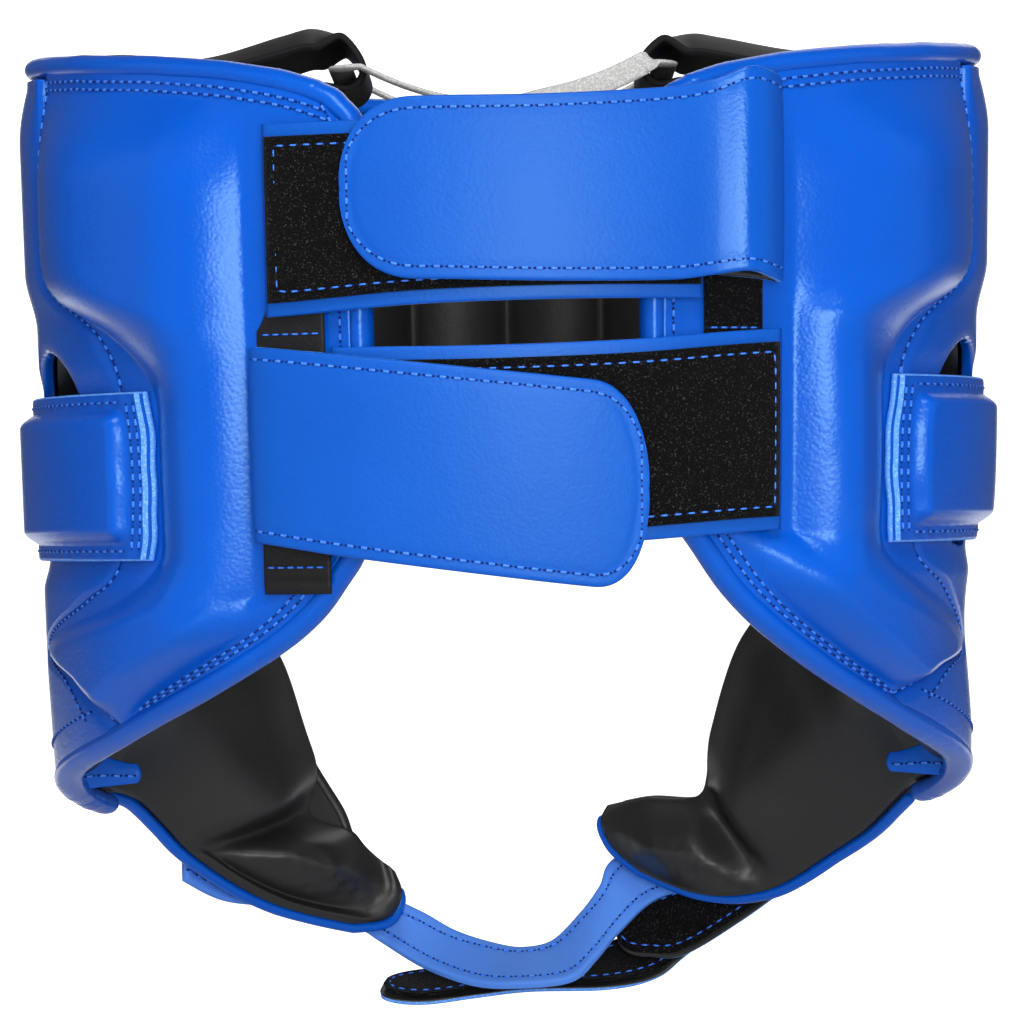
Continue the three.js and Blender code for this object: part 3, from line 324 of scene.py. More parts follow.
def pu_leather(name, deep, lit, grain_mm, grain_depth_mm, roughness, crease_mm, crease_depth_mm, gleam):
    """Coated leather: a pebble grain from rounded cells, fine creases from stretched noise, a colour that drifts
    slowly between two shades, and a gloss that varies with the same drift. Where a mesh has the attribute bend,
    the leather is pulled smooth over a fold, and is glossier by up to 0.2."""
    material, tree, skin, place = new_material(name)
    slow = {"Vector": place, "Scale": 1000 / DRIFT_MM, "Detail": 2.0}
    drift = add_node(tree, "ShaderNodeTexNoise", slow).outputs["Fac"]
    tone = add_node(tree, "ShaderNodeMix", {0: drift, 6: linear(deep), 7: linear(lit)}, data_type="RGBA")
    cells = {"Vector": place, "Scale": 1000 / grain_mm, "Smoothness": 0.6}
    pebble = add_node(tree, "ShaderNodeTexVoronoi", cells, feature="SMOOTH_F1").outputs["Distance"]
    rise = {"Height": pebble, "Strength": 0.6, "Distance": grain_depth_mm * MM}
    grain = add_node(tree, "ShaderNodeBump", rise, invert=True).outputs[0]
    fine = {"Vector": place, "Scale": 1000 / crease_mm, "Detail": 4.0, "Distortion": 0.6}
    fold = add_node(tree, "ShaderNodeTexNoise", fine).outputs["Fac"]
    rise = {"Height": fold, "Strength": 0.5, "Distance": crease_depth_mm * MM, "Normal": grain}
    crease = add_node(tree, "ShaderNodeBump", rise)
    gloss = add_node(tree, "ShaderNodeMapRange", {"Value": drift, 3: roughness - 0.03, 4: roughness + 0.04})
    bend = add_node(tree, "ShaderNodeAttribute", attribute_name="bend").outputs["Fac"]
    polish = add_node(tree, "ShaderNodeMath", {0: bend, 1: -0.2, 2: gloss.outputs[0]}, operation="MULTIPLY_ADD")
    sources = {"Base Color": tone.outputs[2], "Roughness": polish.outputs[0], "Normal": crease.outputs[0]}
    set_inputs(tree, skin, {**sources, "IOR": 1.5, "Specular Tint": linear(gleam)})
    return material


# Blue PU leather: deep saturated blue with pebbles about 0.9 mm across; its pigmented coat gives a bluish gleam
blue_leather = pu_leather("blue PU leather", "#0049b4", "#0056c6", 0.9, 0.07, 0.26, 5.0, 0.12, "#a8d8e8")
# Blue strap leather: the same skin, its blue painted a little darker as painted shade, since the straps face the lamp
# squarely; worn matt by handling, so its gleam is broad and faint
strap_leather = pu_leather("blue strap leather with painted shade", "#0048ab", "#0053bb", 0.8, 0.07, 0.45, 5.0, 0.1, "#a8d8e8")
# Chin strap leather: matt, and painted paler than the panels' blue as a painted sheen for the light its faces catch
chin_leather_painted_sheen = pu_leather("blue chin leather with painted sheen", "#4276d6", "#568ae4", 0.8, 0.06, 0.6, 4.0, 0.12, "#a8d8e8")
# Black PU lining leather: softer and thinner, so it shows fine creases as well as the grain
black_leather = pu_leather("black PU lining leather", "#171718", "#1f1f20", 0.7, 0.05, 0.44, 3.0, 0.18, "#ffffff")
# Crown tab leather: the same black skin, brushed matt
crown_leather = pu_leather("matt black crown leather", "#0e0e0f", "#161617", 0.7, 0.05, 0.62, 3.0, 0.18, "#8a8a90")
print("leathers:", blue_leather.name, "and", black_leather.name)

# %% Loop tape, lace, thread and cut edges


def woven(name, base, fleck, fleck_mm, share, roughness, depth_mm, sheen, gleam=0.4):
    """Brushed or woven textile: light flecks where the noise is high, and the same noise as its relief."""
    material, tree, skin, place = new_material(name)
    weave = {"Vector": place, "Scale": 1000 / fleck_mm, "Detail": 3.0, "Roughness": 0.7}
    fibre = add_node(tree, "ShaderNodeTexNoise", weave).outputs["Fac"]
    lit = add_node(tree, "ShaderNodeMapRange", {"Value": fibre, 1: share, 2: share + 0.16})
    tone = add_node(tree, "ShaderNodeMix", {0: lit.outputs[0], 6: linear(base), 7: linear(fleck)}, data_type="RGBA")
    relief = add_node(tree, "ShaderNodeBump", {"Height": fibre, "Strength": 0.9, "Distance": depth_mm * MM})
    soft = {"Roughness": roughness, "Sheen Weight": sheen, "Sheen Roughness": 0.4, "Specular IOR Level": gleam}
    set_inputs(tree, skin, {"Base Color": tone.outputs[2], "Normal": relief.outputs[0], **soft})
    return material


# Nylon loop tape: matt black pile with paler fibre tips
loop_pile = woven("black nylon loop pile", "#060607", "#4c4c50", 0.5, 0.58, 1.0, 0.5, 0.04, 0.12)
# Flat woven lace of bleached white polyester, painted grey as painted shade
white_lace = woven("white woven lace with painted shade", "#a9a9a8", "#cfcfce", 0.5, 0.45, 0.85, 0.12, 0.1)
# Satin ribbon: dense black weave with a faint gleam
satin_ribbon = woven("black satin ribbon", "#0b0b0c", "#1d1d1f", 0.4, 0.5, 0.6, 0.08, 0.0, 0.3)
# Bonded polyester thread in the leather's blue, painted lighter as a painted highlight where its crowns catch the light
blue_thread = woven("blue polyester thread", "#2468da", "#4f97f3", 0.3, 0.45, 0.55, 0.05, 0.0)
# Painted shade of the needle holes, where thread and leather sink into their own shadow
needle_hole_painted_shade = woven("shadowed needle holes", "#05206a", "#0a3390", 0.3, 0.5, 0.8, 0.05, 0.0, 0.2)
# Cut edge of the coated leather, where the pale backing shows
cut_edge = woven("pale cut edge of leather", "#4f92ee", "#8fc0fb", 0.6, 0.5, 0.8, 0.08, 0.0)
print("textiles:", loop_pile.name, white_lace.name, blue_thread.name, cut_edge.name)

# %% [markdown]
# ## Stitches
# A row of stitches is one short spindle of thread, copied along a seam line. A texture of dashes would be lighter,
# but would not stand up from the leather or catch the light. One spindle has a few dozen faces, and the copies are
# placed with arrays: each one gets the seam's direction and the leather's normal at its place.

# %% Stitch maker
STITCH_PITCH = 3.2
stitch_sets = {}


def stitch_row(group, path, normal, pitch=STITCH_PITCH, length=2.8, width=0.66, lift=0.1):
    """Spindles along a path: each bows up from the leather, height = lift + 0.22 (1 - s^2), and thins to its ends.
    path and normal are arrays of the seam's points and of the leather's outward normals, in mm."""
    line = spaced(np.concatenate([path, normal], 1), pitch)
    middle = (line[1:, :3] + line[:-1, :3]) / 2
    along = unit(line[1:, :3] - line[:-1, :3])
    up = unit(line[1:, 3:] + line[:-1, 3:])
    up = unit(up - (up * along).sum(-1, keepdims=True) * along)
    across = np.cross(along, up)
    s = np.array([-1, -0.5, 0, 0.5, 1])
    thick = width / 2 * np.array([0.6, 0.95, 1, 0.95, 0.6])
    angle = np.linspace(0, 2 * np.pi, 6, endpoint=False)
    go = np.broadcast_to((s * length / 2)[:, None], (5, 6))
    out = thick[:, None] * np.cos(angle)
    rise_up = (lift + 0.22 * (1 - s**2) - 0.25)[:, None] + thick[:, None] * np.sin(angle)
    spots = sum(np.einsum("rk,nc->nrkc", q, way) for q, way in ((go, along), (out, across), (rise_up, up)))
    stitch_sets.setdefault(group, []).append(middle[:, None, None] + spots)


def add_stitches(group, name):
    """All rows of a group as one mesh of thread."""
    spindles = np.concatenate(stitch_sets[group])
    body, (quads, fans) = sweep(spindles[0])
    rings = spindles.reshape(len(spindles), -1, 3)
    ends = np.stack([spindles[:, 0].mean(1), spindles[:, -1].mean(1)], 1)
    points = np.concatenate([rings, ends], 1).reshape(-1, 3)
    step = np.arange(len(spindles))[:, None, None] * len(body)
    # The ends of each spindle get the painted shade of the needle holes, and the middle gets the thread
    sunk = np.concatenate([quads[:6], quads[-6:]])
    faces = [(part[None] + step).reshape(-1, part.shape[1]) for part in (quads[6:-6], sunk, fans)]
    piece = add_mesh(name, points, faces, [blue_thread, needle_hole_painted_shade], [0, 1, 1])
    print(name, "stitches:", len(spindles))


# %% [markdown]
# ## Back panels
# The two blue panels beside the rear opening are foam pads under leather. A pad could be swollen with a cloth
# simulation, but here the straps press a flat field into it, and its edges are stitched flat, so its height is
# written as a product of soft rises from each seam, with the strap field taken out. Small puckers follow the
# stitches.

# %% Tables of the side panels
RIM = [
    # plan angle, height
    (14, -16), (20, -9.5), (26, -5.5), (34, -2.5), (45, 0), (60, 2.5), (90, 6), (130, 6), (180, 4), (230, 6), (270, 6),
]
EDGE = {
    # plan angle and height of the roll's middle, down the rear edge and along the lower edge
    LEFT: [
        (19.3, -14), (17, -22), (17, -48), (17, -75), (17, -101), (18.2, -112), (20.8, -119.5), (24.3, -127.2),
        (30.3, -135), (40, -143.7), (50, -150.8), (60.5, -157), (71, -161.5), (82, -165.7), (92, -169.8), (101, -173.5),
        (108, -176),
    ],
    RIGHT: [
        (19.3, -14), (17, -22), (17, -46), (17, -71), (17.3, -93), (19.6, -103.5), (23, -112.5), (27.4, -123),
        (33.4, -132.2), (42, -141.8), (52, -150), (62, -156.5), (72, -161), (82, -165), (92, -169.5), (101, -173.5),
        (108, -176),
    ],
}
SIDE_ROWS = [
    # entry of the edge table, angle and height of the left ear seam, then of the right, height at the panel's front
    (0, 70, -1.6, 70.5, -1.6, 0.2),
    (1.1, 70.5, -25, 71, -25, -25),
    (1.95, 70.5, -45, 71, -45, -45),
    (2.35, 68, -53, 68.5, -53, -54),
    (2.85, 56.5, -63.5, 57.5, -63.5, -64),
    (3.55, 52.3, -78.5, 53.7, -78.5, -80),
    (4.6, 53.6, -114, 58, -114, -109),
    (6.7, 62, -124.5, 68, -124.5, -127),
    (8.3, 82, -135.5, 81, -138, -142),
    (9, 66, -142.5, 65, -142.6, -152),
    (9.9, 55, -153.2, 51.5, -149, -171.6),
]
EAR_PANEL_FRONT = 99.7
ROLL_HIGH, ROLL_DEEP, ROLL_OFFSET = 2.7, 3.6, -2.2
GAP = 0.3
SHELL_UNDERSIDE = -2.5
BAND_REAR, BAND_Z = {LEFT: 45.6, RIGHT: 50.2}, {LEFT: -95.6, RIGHT: -94.0}


def under_rim(phi):
    """Height of the pads' upper edge, just under the rim's roll."""
    return height_at(RIM, np.where(phi > 180, 360 - phi, phi)) - 2 * ROLL_HIGH - GAP


def ruled(start_phi, start_z, end_phi, end_z, u, v):
    """A place between two borders; near the top row its height follows the rim instead of the straight ruling."""
    phi, z = mix(start_phi, end_phi, u), mix(start_z, end_z, u)
    lift = under_rim(phi) - mix(under_rim(start_phi), under_rim(end_phi), u)
    return phi, z + (1 - smooth(v, 0, 0.35)) * lift


def beside_edge(side, entry, clearance):
    """A place beside the rolled edge: its middle line, moved at right angles towards the panel by the clearance."""
    at = np.asarray(entry, float) / (len(EDGE[side]) - 1)
    place = rows_at(EDGE[side], at)
    way = unit((rows_at(EDGE[side], at + 1e-3) - rows_at(EDGE[side], at - 1e-3)) * (MM_PER_DEGREE, 1))
    return place[..., 0] - way[..., 1] * clearance / MM_PER_DEGREE, place[..., 1] + way[..., 0] * clearance


def seam_height(z):
    """Padding left at the ear seam: the temple and the jaw are sewn full, and the seam by the ear is sewn flat."""
    return 2.2 * smooth(z, -60, -44) + 0.9 * smooth(-z, 114, 121) * (1 - smooth(-z, 133, 142))


def seam_of(row, side):
    """Plan angle and height of one side's ear seam, from a row of the side table."""
    return (row[..., k] for k in ((1, 2) if side == LEFT else (3, 4)))


def under_band(phi, z, side):
    """1 where the ear band presses on a pad and 0 away from it, with a soft border."""
    high = 1 - smooth(np.abs(z - BAND_Z[side]), 19.5, 27)
    return high * smooth(phi, BAND_REAR[side] - 3, BAND_REAR[side])


# %% Back panels
BACK_PUFF = 10.5
TUCK, REAR_FLANGE, TOP_FLANGE = 1.6, 5.0, 3.0
STRAP_FIELD = {
    # side: plan angle of the pressed field's border, its low end, and the soft rise beside it, low and high
    LEFT: (30.8, -123, 21, 21),
    RIGHT: (34.4, -110, 17, 34),
}


def rim_tuck(v):
    """How far the top row goes up under the rim's roll; it fades out just below."""
    return 1.7 * (1 - smooth(v, 0, 0.06))


def back_place(u, v, side):
    """A place between the rolled edge and the ear seam; the top row goes up under the rim's roll."""
    row = rows_at(SIDE_ROWS, v)
    start_phi, start_z = beside_edge(side, row[..., 0], TUCK)
    end_phi, end_z = seam_of(row, side)
    phi, z = ruled(start_phi, start_z, end_phi, end_z, u, v)
    width = np.hypot((end_phi - start_phi) * MM_PER_DEGREE, end_z - start_z)
    return phi, z + rim_tuck(v), width


def back_offset(u, v, side):
    """Height of the padding: flat flanges at the rolled edge and the rim, then soft rises to the full puff, pressed
    down to a twentieth where the straps lie, thinner at the jaw, and a fine groove along the ear seam."""
    phi, z, width = back_place(u, v, side)
    border, low, soft, soft_high = STRAP_FIELD[side]
    away = np.hypot(np.maximum((phi - border) * MM_PER_DEGREE, 0), np.maximum(low - z, 0))
    pressed = 1 - swell(away, mix(soft, soft_high, smooth(z, -62, -50)))
    from_rear, from_seam, from_top = u * width, (1 - u) * width, under_rim(phi) - z
    by_band = 1 - smooth(np.abs(z - BAND_Z[side]), 15, 42)
    from_band = (BAND_REAR[side] - 0.5 - phi) * MM_PER_DEGREE
    from_seam = mix(from_seam, np.minimum(from_seam, from_band), by_band)
    low_flange = REAR_FLANGE + 1.6 * smooth(v, 0.6, 0.67)
    borders = swell(from_rear - low_flange, 15) * swell(from_top - TOP_FLANGE, 22)
    rounding = mix(mix(36, 46, smooth(-z, 46, 62)), mix(42, 15, smooth(-z, 130, 144)), smooth(-z, 106, 120))
    rounding = mix(rounding, 26, by_band)
    jaw = 1 - 0.72 * smooth(phi, 46, 76) * smooth(-z, 106, 124)
    full, sewn = BACK_PUFF * jaw * (1 - 0.95 * pressed), seam_height(z)
    at = wall(phi, z, 0)
    seed = 3 if side < 0 else 5
    wave = 0.5 * lumps(at, 42, seed) + 0.18 * lumps(at, 15, seed + 40) * 4 * pressed * (1 - pressed)
    padding = borders * (sewn + (full - sewn + wave * (1 - pressed)) * swell(from_seam, rounding))
    pucker = np.exp(-(((from_top - 1.4) / 1.2) ** 2)) * np.sin(2 * np.pi * phi * MM_PER_DEGREE / STITCH_PITCH)
    groove = 0.35 * np.exp(-(((1 - u) * width / 1.3) ** 2))
    return 0.5 - 0.4 * under_band(phi, z, side) + padding + 0.12 * pucker - groove


def grid(columns, rows):
    """Even parameters u across and v down, as two arrays of rows by columns."""
    return np.meshgrid(np.linspace(0, 1, columns), np.linspace(0, 1, rows))


for side, word in SIDES:
    u, v = grid(100, 165)
    phi, z, _ = back_place(u, v, side)
    outer = wall(phi, z, back_offset(u, v, side), side)
    body = slab(outer, wall(phi, z, SHELL_UNDERSIDE, side))
    dress(f"{word}_back_pad", f"{word}_back_panel", *body, [blue_leather], fill=0.8)

# %% [markdown]
# ## Ear panels and side linings
# Between the back pad and the cheek, a flat blue panel carries the ear hole. A Boolean modifier could cut it, but
# leaves long thin faces that shade badly. Here the cells inside the oval are left out and the border points moved
# onto it, which keeps the mesh all quads. The black lining inside is the foam that touches the head.

# %% Ear panels
EAR_HOLE = (75.5, 15.5, -90, 24.5)


def cut_hole(phi, z):
    """Cells to keep around the ear oval, and the grid with its border points moved onto the oval."""
    phi0, half_phi, z0, half_z = EAR_HOLE
    dx, dz = (phi - phi0) / half_phi, (z - z0) / half_z
    reach = np.hypot(dx, dz)
    inside = reach < 1
    gone = inside[:-1, :-1] & inside[:-1, 1:] & inside[1:, 1:] & inside[1:, :-1]
    scale = np.where(inside, 1 / np.maximum(reach, 1e-6), 1)
    return ~gone, phi0 + dx * scale * half_phi, z0 + dz * scale * half_z


def ear_place(u, v, side):
    """A place between the ear seam and the front of the ear panel; the lowest row goes down under the rolled edge."""
    row = rows_at(SIDE_ROWS, v)
    seam, seam_z = seam_of(row, side)
    start = seam + 2 * GAP / MM_PER_DEGREE
    phi, z = ruled(start, seam_z, EAR_PANEL_FRONT, row[..., 5], u, v)
    z = z - 1.2 * np.sin(np.pi * u) * smooth(v, 0.9, 1)
    return phi, z, (EAR_PANEL_FRONT - start) * MM_PER_DEGREE


def ear_offset(u, v, width, phi, z, side):
    """A thin pad with the hole's rim turned in: full at the temple and the jaw, where it goes on from the back pad's
    seam height, and flat under the ear band."""
    phi0, half_phi, z0, half_z = EAR_HOLE
    from_hole = (np.hypot((phi - phi0) / half_phi, (z - z0) / half_z) - 1) * half_phi * MM_PER_DEGREE
    front = swell((1 - u) * width, 12)
    flat = 0.8 * swell(u * width, 7) * front * swell(from_hole, 4) * (1 - under_band(phi, z, side))
    temple = 2.4 * smooth(z, -60, -46) * swell(under_rim(phi) - z - 1.5, 14)
    full = temple + 0.9 * smooth(-z, 114, 122) * swell((1 - v) * 90, 16)
    sewn = mix(seam_height(z), full, smooth(u * width, 0, 9))
    return 0.1 + flat + front * sewn - 0.4 * np.exp(-((u * width / 1.3) ** 2))


for side, word in SIDES:
    u, v = grid(84, 160)
    phi, z, width = ear_place(u, v, side)
    kept, phi, z = cut_hole(phi, z)
    outer = wall(phi, z, ear_offset(u, v, width, phi, z, side), side)
    body = slab(outer, wall(phi, z, SHELL_UNDERSIDE, side), kept)
    dress(f"{word}_ear_pad", f"{word}_ear_panel", *body, [blue_leather], fill=0.3)

# %% Side linings
LINING_ROWS = [
    # entry of the edge table, height at the front
    (0, 0), (1.7, -40), (3, -75), (4, -100), (7.2, -128), (9.3, -148), (11.6, -160), (13.8, -168.4),
]
LINING_TOP, LINING_EDGE = -3.5, -5
for side, word in SIDES:
    u, v = grid(70, 80)
    row = rows_at(LINING_ROWS, v)
    start_phi, start_z = beside_edge(side, row[..., 0], 2.4)
    phi, z = ruled(start_phi, start_z, EAR_PANEL_FRONT, row[..., 1], u, v)
    z = z + rim_tuck(v)
    width = (EAR_PANEL_FRONT - start_phi) * MM_PER_DEGREE
    kept, phi, z = cut_hole(phi, z)
    from_top = under_rim(phi) - z
    form = swell(from_top, 18) * swell(u * width, 18) * swell((1 - u) * width, 18) * swell((1 - v) * 60, 18)
    soft = 14 * form + 0.4 * form * lumps(wall(phi, z, 0), 22, 11)
    body = slab(wall(phi, z, LINING_TOP, side), wall(phi, z, LINING_EDGE - soft, side), kept)
    dress(f"{word}_side_lining", f"{word}_lining", *body, [black_leather], slot="black_leather", fill=0.7)

# %% [markdown]
# ## Forehead pad
# Across the front runs one long pad with a plain blue face. Its lining is sewn in upright channels, which show
# as dark grooves through the gap between the closing straps. Both could be sculpted, but soft rises from the
# borders and one sine wave along the brow give the same swelling with even channels.

# %% Forehead
BROW = [
    # plan angle, height of the lower edge
    (99, -57), (112, -65.5), (124, -74), (135, -80.5), (150, -84.5), (180, -85),
    (210, -84.5), (225, -80.5), (236, -74), (248, -65.5), (261, -57),
]
FOREHEAD_END = 99.8
CHANNEL = 28


def forehead_place(u, v, inset):
    """A place between the rim and the brow, drawn in by an inset, with the heights of both borders there."""
    phi = mix(FOREHEAD_END + inset, 360 - FOREHEAD_END - inset, u)
    top, brow = under_rim(phi) - inset, height_at(BROW, phi) + inset
    return phi, mix(top, brow, v), top, brow


u, v = grid(130, 46)
phi, z, top, brow = forehead_place(u, v, 0)
ends = swell((180 - FOREHEAD_END - np.abs(phi - 180)) * MM_PER_DEGREE, 14)
form = ends * swell(top - z, 15) * swell(z - brow, 15)
outer = wall(phi, z, 0.4 + 9 * form + 0.3 * form * lumps(wall(phi, z, 0), 30, 21))
body = slab(outer, wall(phi, z, SHELL_UNDERSIDE))
dress("forehead_pad_face", "forehead_pad", *body, [blue_leather], fill=0.8)

u, v = grid(220, 44)
phi, z, top, brow = forehead_place(u, v, 1)
groove = np.abs(np.sin(np.pi * (phi - 180) * MM_PER_DEGREE / CHANNEL)) ** 0.45
soft = 11 * swell(top - z, 14) * swell(z - brow, 14) * mix(0.35, 1, groove)
body = slab(wall(phi, z, LINING_TOP), wall(phi, z, LINING_EDGE - soft))
dress("forehead_lining_in_channels", "forehead_lining", *body, [black_leather], slot="black_leather", fill=0.7)

# %% [markdown]
# ## Cheek guards
# Each cheek guard runs from the ear panel down to a chin lobe. From behind, its black inside shows: a big pad,
# a sewn fold, and the smaller chin pad. It could be sculpted from a bent block, but as a patch between two border
# curves, the face edge and the lower edge, it keeps its cut outline, and the fold is one dip in its height.

# %% Cheek tables
CHEEK_ROWS = {
    # plan angle and height of the face edge, then of the lower edge
    LEFT: [
        (99.8, -59, 99.8, -173), (112, -68, 102, -173.8), (124, -77, 104, -174.5), (133, -97, 108, -175.5),
        (138.5, -124, 112, -176.5), (145.5, -142.5, 116, -178.5), (150, -165, 121, -184), (155.5, -182, 128, -193),
        (158, -191.5, 143, -207.5), (165.8, -203, 162.5, -217.3),
    ],
    RIGHT: [
        (99.8, -59, 99.8, -173), (112, -68, 102, -173.8), (124, -77, 104.5, -174.7), (133, -97, 109.5, -177),
        (139.5, -124, 115, -182), (146.5, -141, 121.5, -189), (150.8, -163, 129, -195.5), (152.5, -179, 141, -206),
        (161.5, -180.2, 152.8, -207.3), (169.8, -183.5, 166.2, -198),
    ],
}
CHEEK_CREASE = 7 / 9
CHEEK_SEAM_END = 0.21
CHEEK_INSET = 4.6
CHEEK_NOTCH = {LEFT: 11, RIGHT: 0}
RIM_WIDTH = {LEFT: 4.6, RIGHT: 0.6}


def cheek_place(side, u, v, inset, top_inset=None):
    """A place on the cheek, kept an inset from its edges and its rounded tip, with its distances to both edges.
    Along the forehead seam, at its start, it reaches up to the forehead pad instead."""
    top_inset = inset if top_inset is None else top_inset
    along = u * (1 - 0.035 * inset / CHEEK_INSET - 0.03 * np.abs(2 * v - 1) ** 3 * smooth(u, 0.85, 1))
    row = rows_at(CHEEK_ROWS[side], along)
    length = np.hypot((row[..., 0] - row[..., 2]) * MM_PER_DEGREE, row[..., 1] - row[..., 3])
    share = smooth(along, CHEEK_SEAM_END, CHEEK_SEAM_END + 0.1)
    seam_reach = 0.8 + 8 * np.minimum(along, 0.2)
    first = mix(-seam_reach, top_inset, share) / length
    at = mix(first, 1 - inset / length, v)
    phi, z = mix(row[..., 0], row[..., 2], at), mix(row[..., 1], row[..., 3], at)
    return phi, z, (at - first) * length, (1 - inset / length - at) * length


# %% Cheek pads and linings
for side, word in SIDES:
    u, v = grid(110, 60)
    phi, z, from_top, from_low = cheek_place(side, u, v, 2.6)
    form = swell(from_top, 13) * swell(from_low, 13) * swell(u * 60, 13) * swell((1 - u) * 90, 13)
    full = mix(8, 2.6, smooth(u, 0.42, 0.58))
    body = slab(wall(phi, z, 0.3 + full * form, side), wall(phi, z, SHELL_UNDERSIDE, side))
    skins = [blue_leather, black_leather]
    dress(f"{word}_cheek_pad_face", f"{word}_cheek_pad", *body, skins, [0, 1, 1], fill=0.8)

    u, v = grid(160, 84)
    notch = CHEEK_NOTCH[side] * np.exp(-(((u - CHEEK_CREASE) / 0.05) ** 2))
    phi, z, from_top, from_low = cheek_place(side, mix(0.012, 1, u), v, 2.8, 0.4 + notch)
    lobe = smooth(u, CHEEK_CREASE - 0.02, CHEEK_CREASE + 0.05)
    rim_width = RIM_WIDTH[side]
    from_tip, from_crease = (1 - u) * 170, np.abs(u - CHEEK_CREASE) * 170
    upper = swell(from_top, 24) * swell(from_low, 30) * swell(u * 150, 30)
    lower = swell(from_top - 0.6, 16) * swell(from_low - rim_width, 15) * swell(from_tip - rim_width, 17)
    rim = np.exp(-(((np.minimum(from_low, from_tip) - 2.2) / 1.3) ** 2)) * lobe * (side == LEFT)
    valley = 1 - 0.8 * np.exp(-((from_crease / 5) ** 2))
    form = mix(upper, lower, lobe) * valley
    at = wall(phi, z, 0, side)
    near_low = np.exp(-(((from_low - rim_width - 7) / 7) ** 2)) * lobe
    gathers = np.exp(-((from_crease / 9) ** 2)) * (1 - lobe) * np.exp(-((from_top / 14) ** 2))
    wrinkle = 0.4 * near_low * lumps(at, 3.6, 35) + 0.5 * gathers * lumps(at, 6, 36)
    soft = 12 * form + 1.6 * rim + wrinkle + 0.6 * form * lumps(at, 26, 33)
    body = slab(wall(phi, z, LINING_TOP, side), wall(phi, z, LINING_EDGE - soft, side))
    dress(f"{word}_cheek_lining_pad", f"{word}_cheek_lining", *body, [black_leather], slot="black_leather", fill=0.7)

# %% [markdown]
# ## Rolled bindings and piping
# The rim and the lower edge are bound with a fat roll of the same leather over a cord. A curve with a round bevel
# would do, but rings carried along a path let the roll vary, gather towards its end and close in a soft dome.
# Inside its lower end a tongue of leather is turned in over the foam. Thinner piping of the same make edges the
# cheeks and the face opening.

# %% Bindings
# The rear roll comes round the corner from the rim as one piece
CORNER = [(27, -7.7), (23.4, -9.8), (20.9, -11.8)]
ROLL_STEP = 1.1


def binding(name, node, phi, z, offset, deep, high, side=RIGHT, sides=18, gather=0.0, black=False):
    """A roll along plan angles and heights. Where it gathers, towards its end, uneven folds squeeze it."""
    line = spaced(np.stack([phi, z], 1) * (MM_PER_DEGREE, 1), ROLL_STEP) / (MM_PER_DEGREE, 1)
    phi, z = line[:, 0], line[:, 1]
    path = wall(phi, z, offset, side)
    outward = wall(phi, z, offset + 1, side) - path
    run = np.arange(len(path)) * ROLL_STEP
    late = smooth(run / run[-1], 0.88, 0.96)
    dent = 1 + 0.02 * lumps(path, 16, 51) + 0.07 * gather * late * lumps(path, 5.5, 53)
    body = sweep(roll_rings(path, outward, deep, high, sides, dent))
    skin, slot = (black_leather, "black_leather") if black else (blue_leather, "blue_leather")
    dress(name, node, *body, [skin], slot=slot)
    print(name, "length, mm:", round(run[-1]))


phi = np.linspace(22, 338, 700)
binding("rim_roll", "top_binding", phi, height_at(RIM, np.where(phi > 180, 360 - phi, phi)) - ROLL_HIGH, ROLL_OFFSET,
        ROLL_DEEP, ROLL_HIGH)
for side, word in SIDES:
    row = rows_at(CORNER + EDGE[side], np.linspace(0, 1, 500))
    binding(f"{word}_lower_roll", f"{word}_edge_binding", row[:, 0], row[:, 1], ROLL_OFFSET, ROLL_DEEP, ROLL_HIGH, side,
            gather=1.0)

# %% Turned-in ends of the rolls


def turned_end(u, v, side, deep):
    """A tongue of leather across the foam's lower edge, inside the end of the roll: it runs 14 mm inwards from the
    wall, 6 mm high, with a wavy upper border. deep moves it away from the rear."""
    phi = 93 + 3.5 * u + deep / MM_PER_DEGREE
    z = mix(-163 - 1.5 * u + 0.7 * np.sin(5 * u), -171 + 1.2 * u, v)
    return wall(phi, z, -3 - 14 * u - 0.8 * np.sin(np.pi * v), side)


for side, word in SIDES:
    u, v = grid(40, 24)
    points, faces = slab(turned_end(u, v, side, 0), turned_end(u, v, side, 1.6))
    piece = add_mesh(f"{word}_roll_turned_end", points, faces, [blue_leather])
    line = turned_end(np.linspace(0.05, 0.95, 60), np.full(60, 0.62), side, -0.2)
    stitch_row("panel_seams", line, np.broadcast_to([0.0, -1.0, 0.0], line.shape))
    print(piece.name, "faces:", len(piece.data.polygons))

# %% Piping of the cheeks and the face opening
PIPING, PIPING_OFFSET = 1.6, -1.4


def cheek_line(side, u, v):
    """Plan angles and heights of a line near a cheek's border, half the piping's width inside it."""
    phi, z, _, _ = cheek_place(side, u, v, PIPING + GAP)
    return np.stack([phi, z], 1)


for side, word in SIDES:
    low = cheek_line(side, np.linspace(0.41, 1, 160), np.ones(160))
    tip = cheek_line(side, np.ones(20), np.linspace(0.9, 0.16, 20))
    line = np.concatenate([low, tip])
    binding(f"{word}_cheek_cord_piping", f"{word}_cheek_piping", line[:, 0], line[:, 1], PIPING_OFFSET, PIPING, PIPING,
            side, 12)


def face_edge(side):
    """The face edge of a cheek, from the chin tip up to the corner of the face opening."""
    return np.concatenate([cheek_line(side, np.linspace(0.965, 0.33, 150), np.zeros(150)), [(129.3, -83.6)]])


phi = np.linspace(135, 225, 120)
brow_line = np.stack([phi, height_at(BROW, phi) - 2.4], 1)
left_edge = face_edge(LEFT)[::-1] * (-1, 1) + (360, 0)
line = np.concatenate([face_edge(RIGHT), brow_line, left_edge])
binding("face_opening_cord_piping", "face_piping", line[:, 0], line[:, 1], PIPING_OFFSET, PIPING, PIPING, RIGHT, 12,
        black=True)

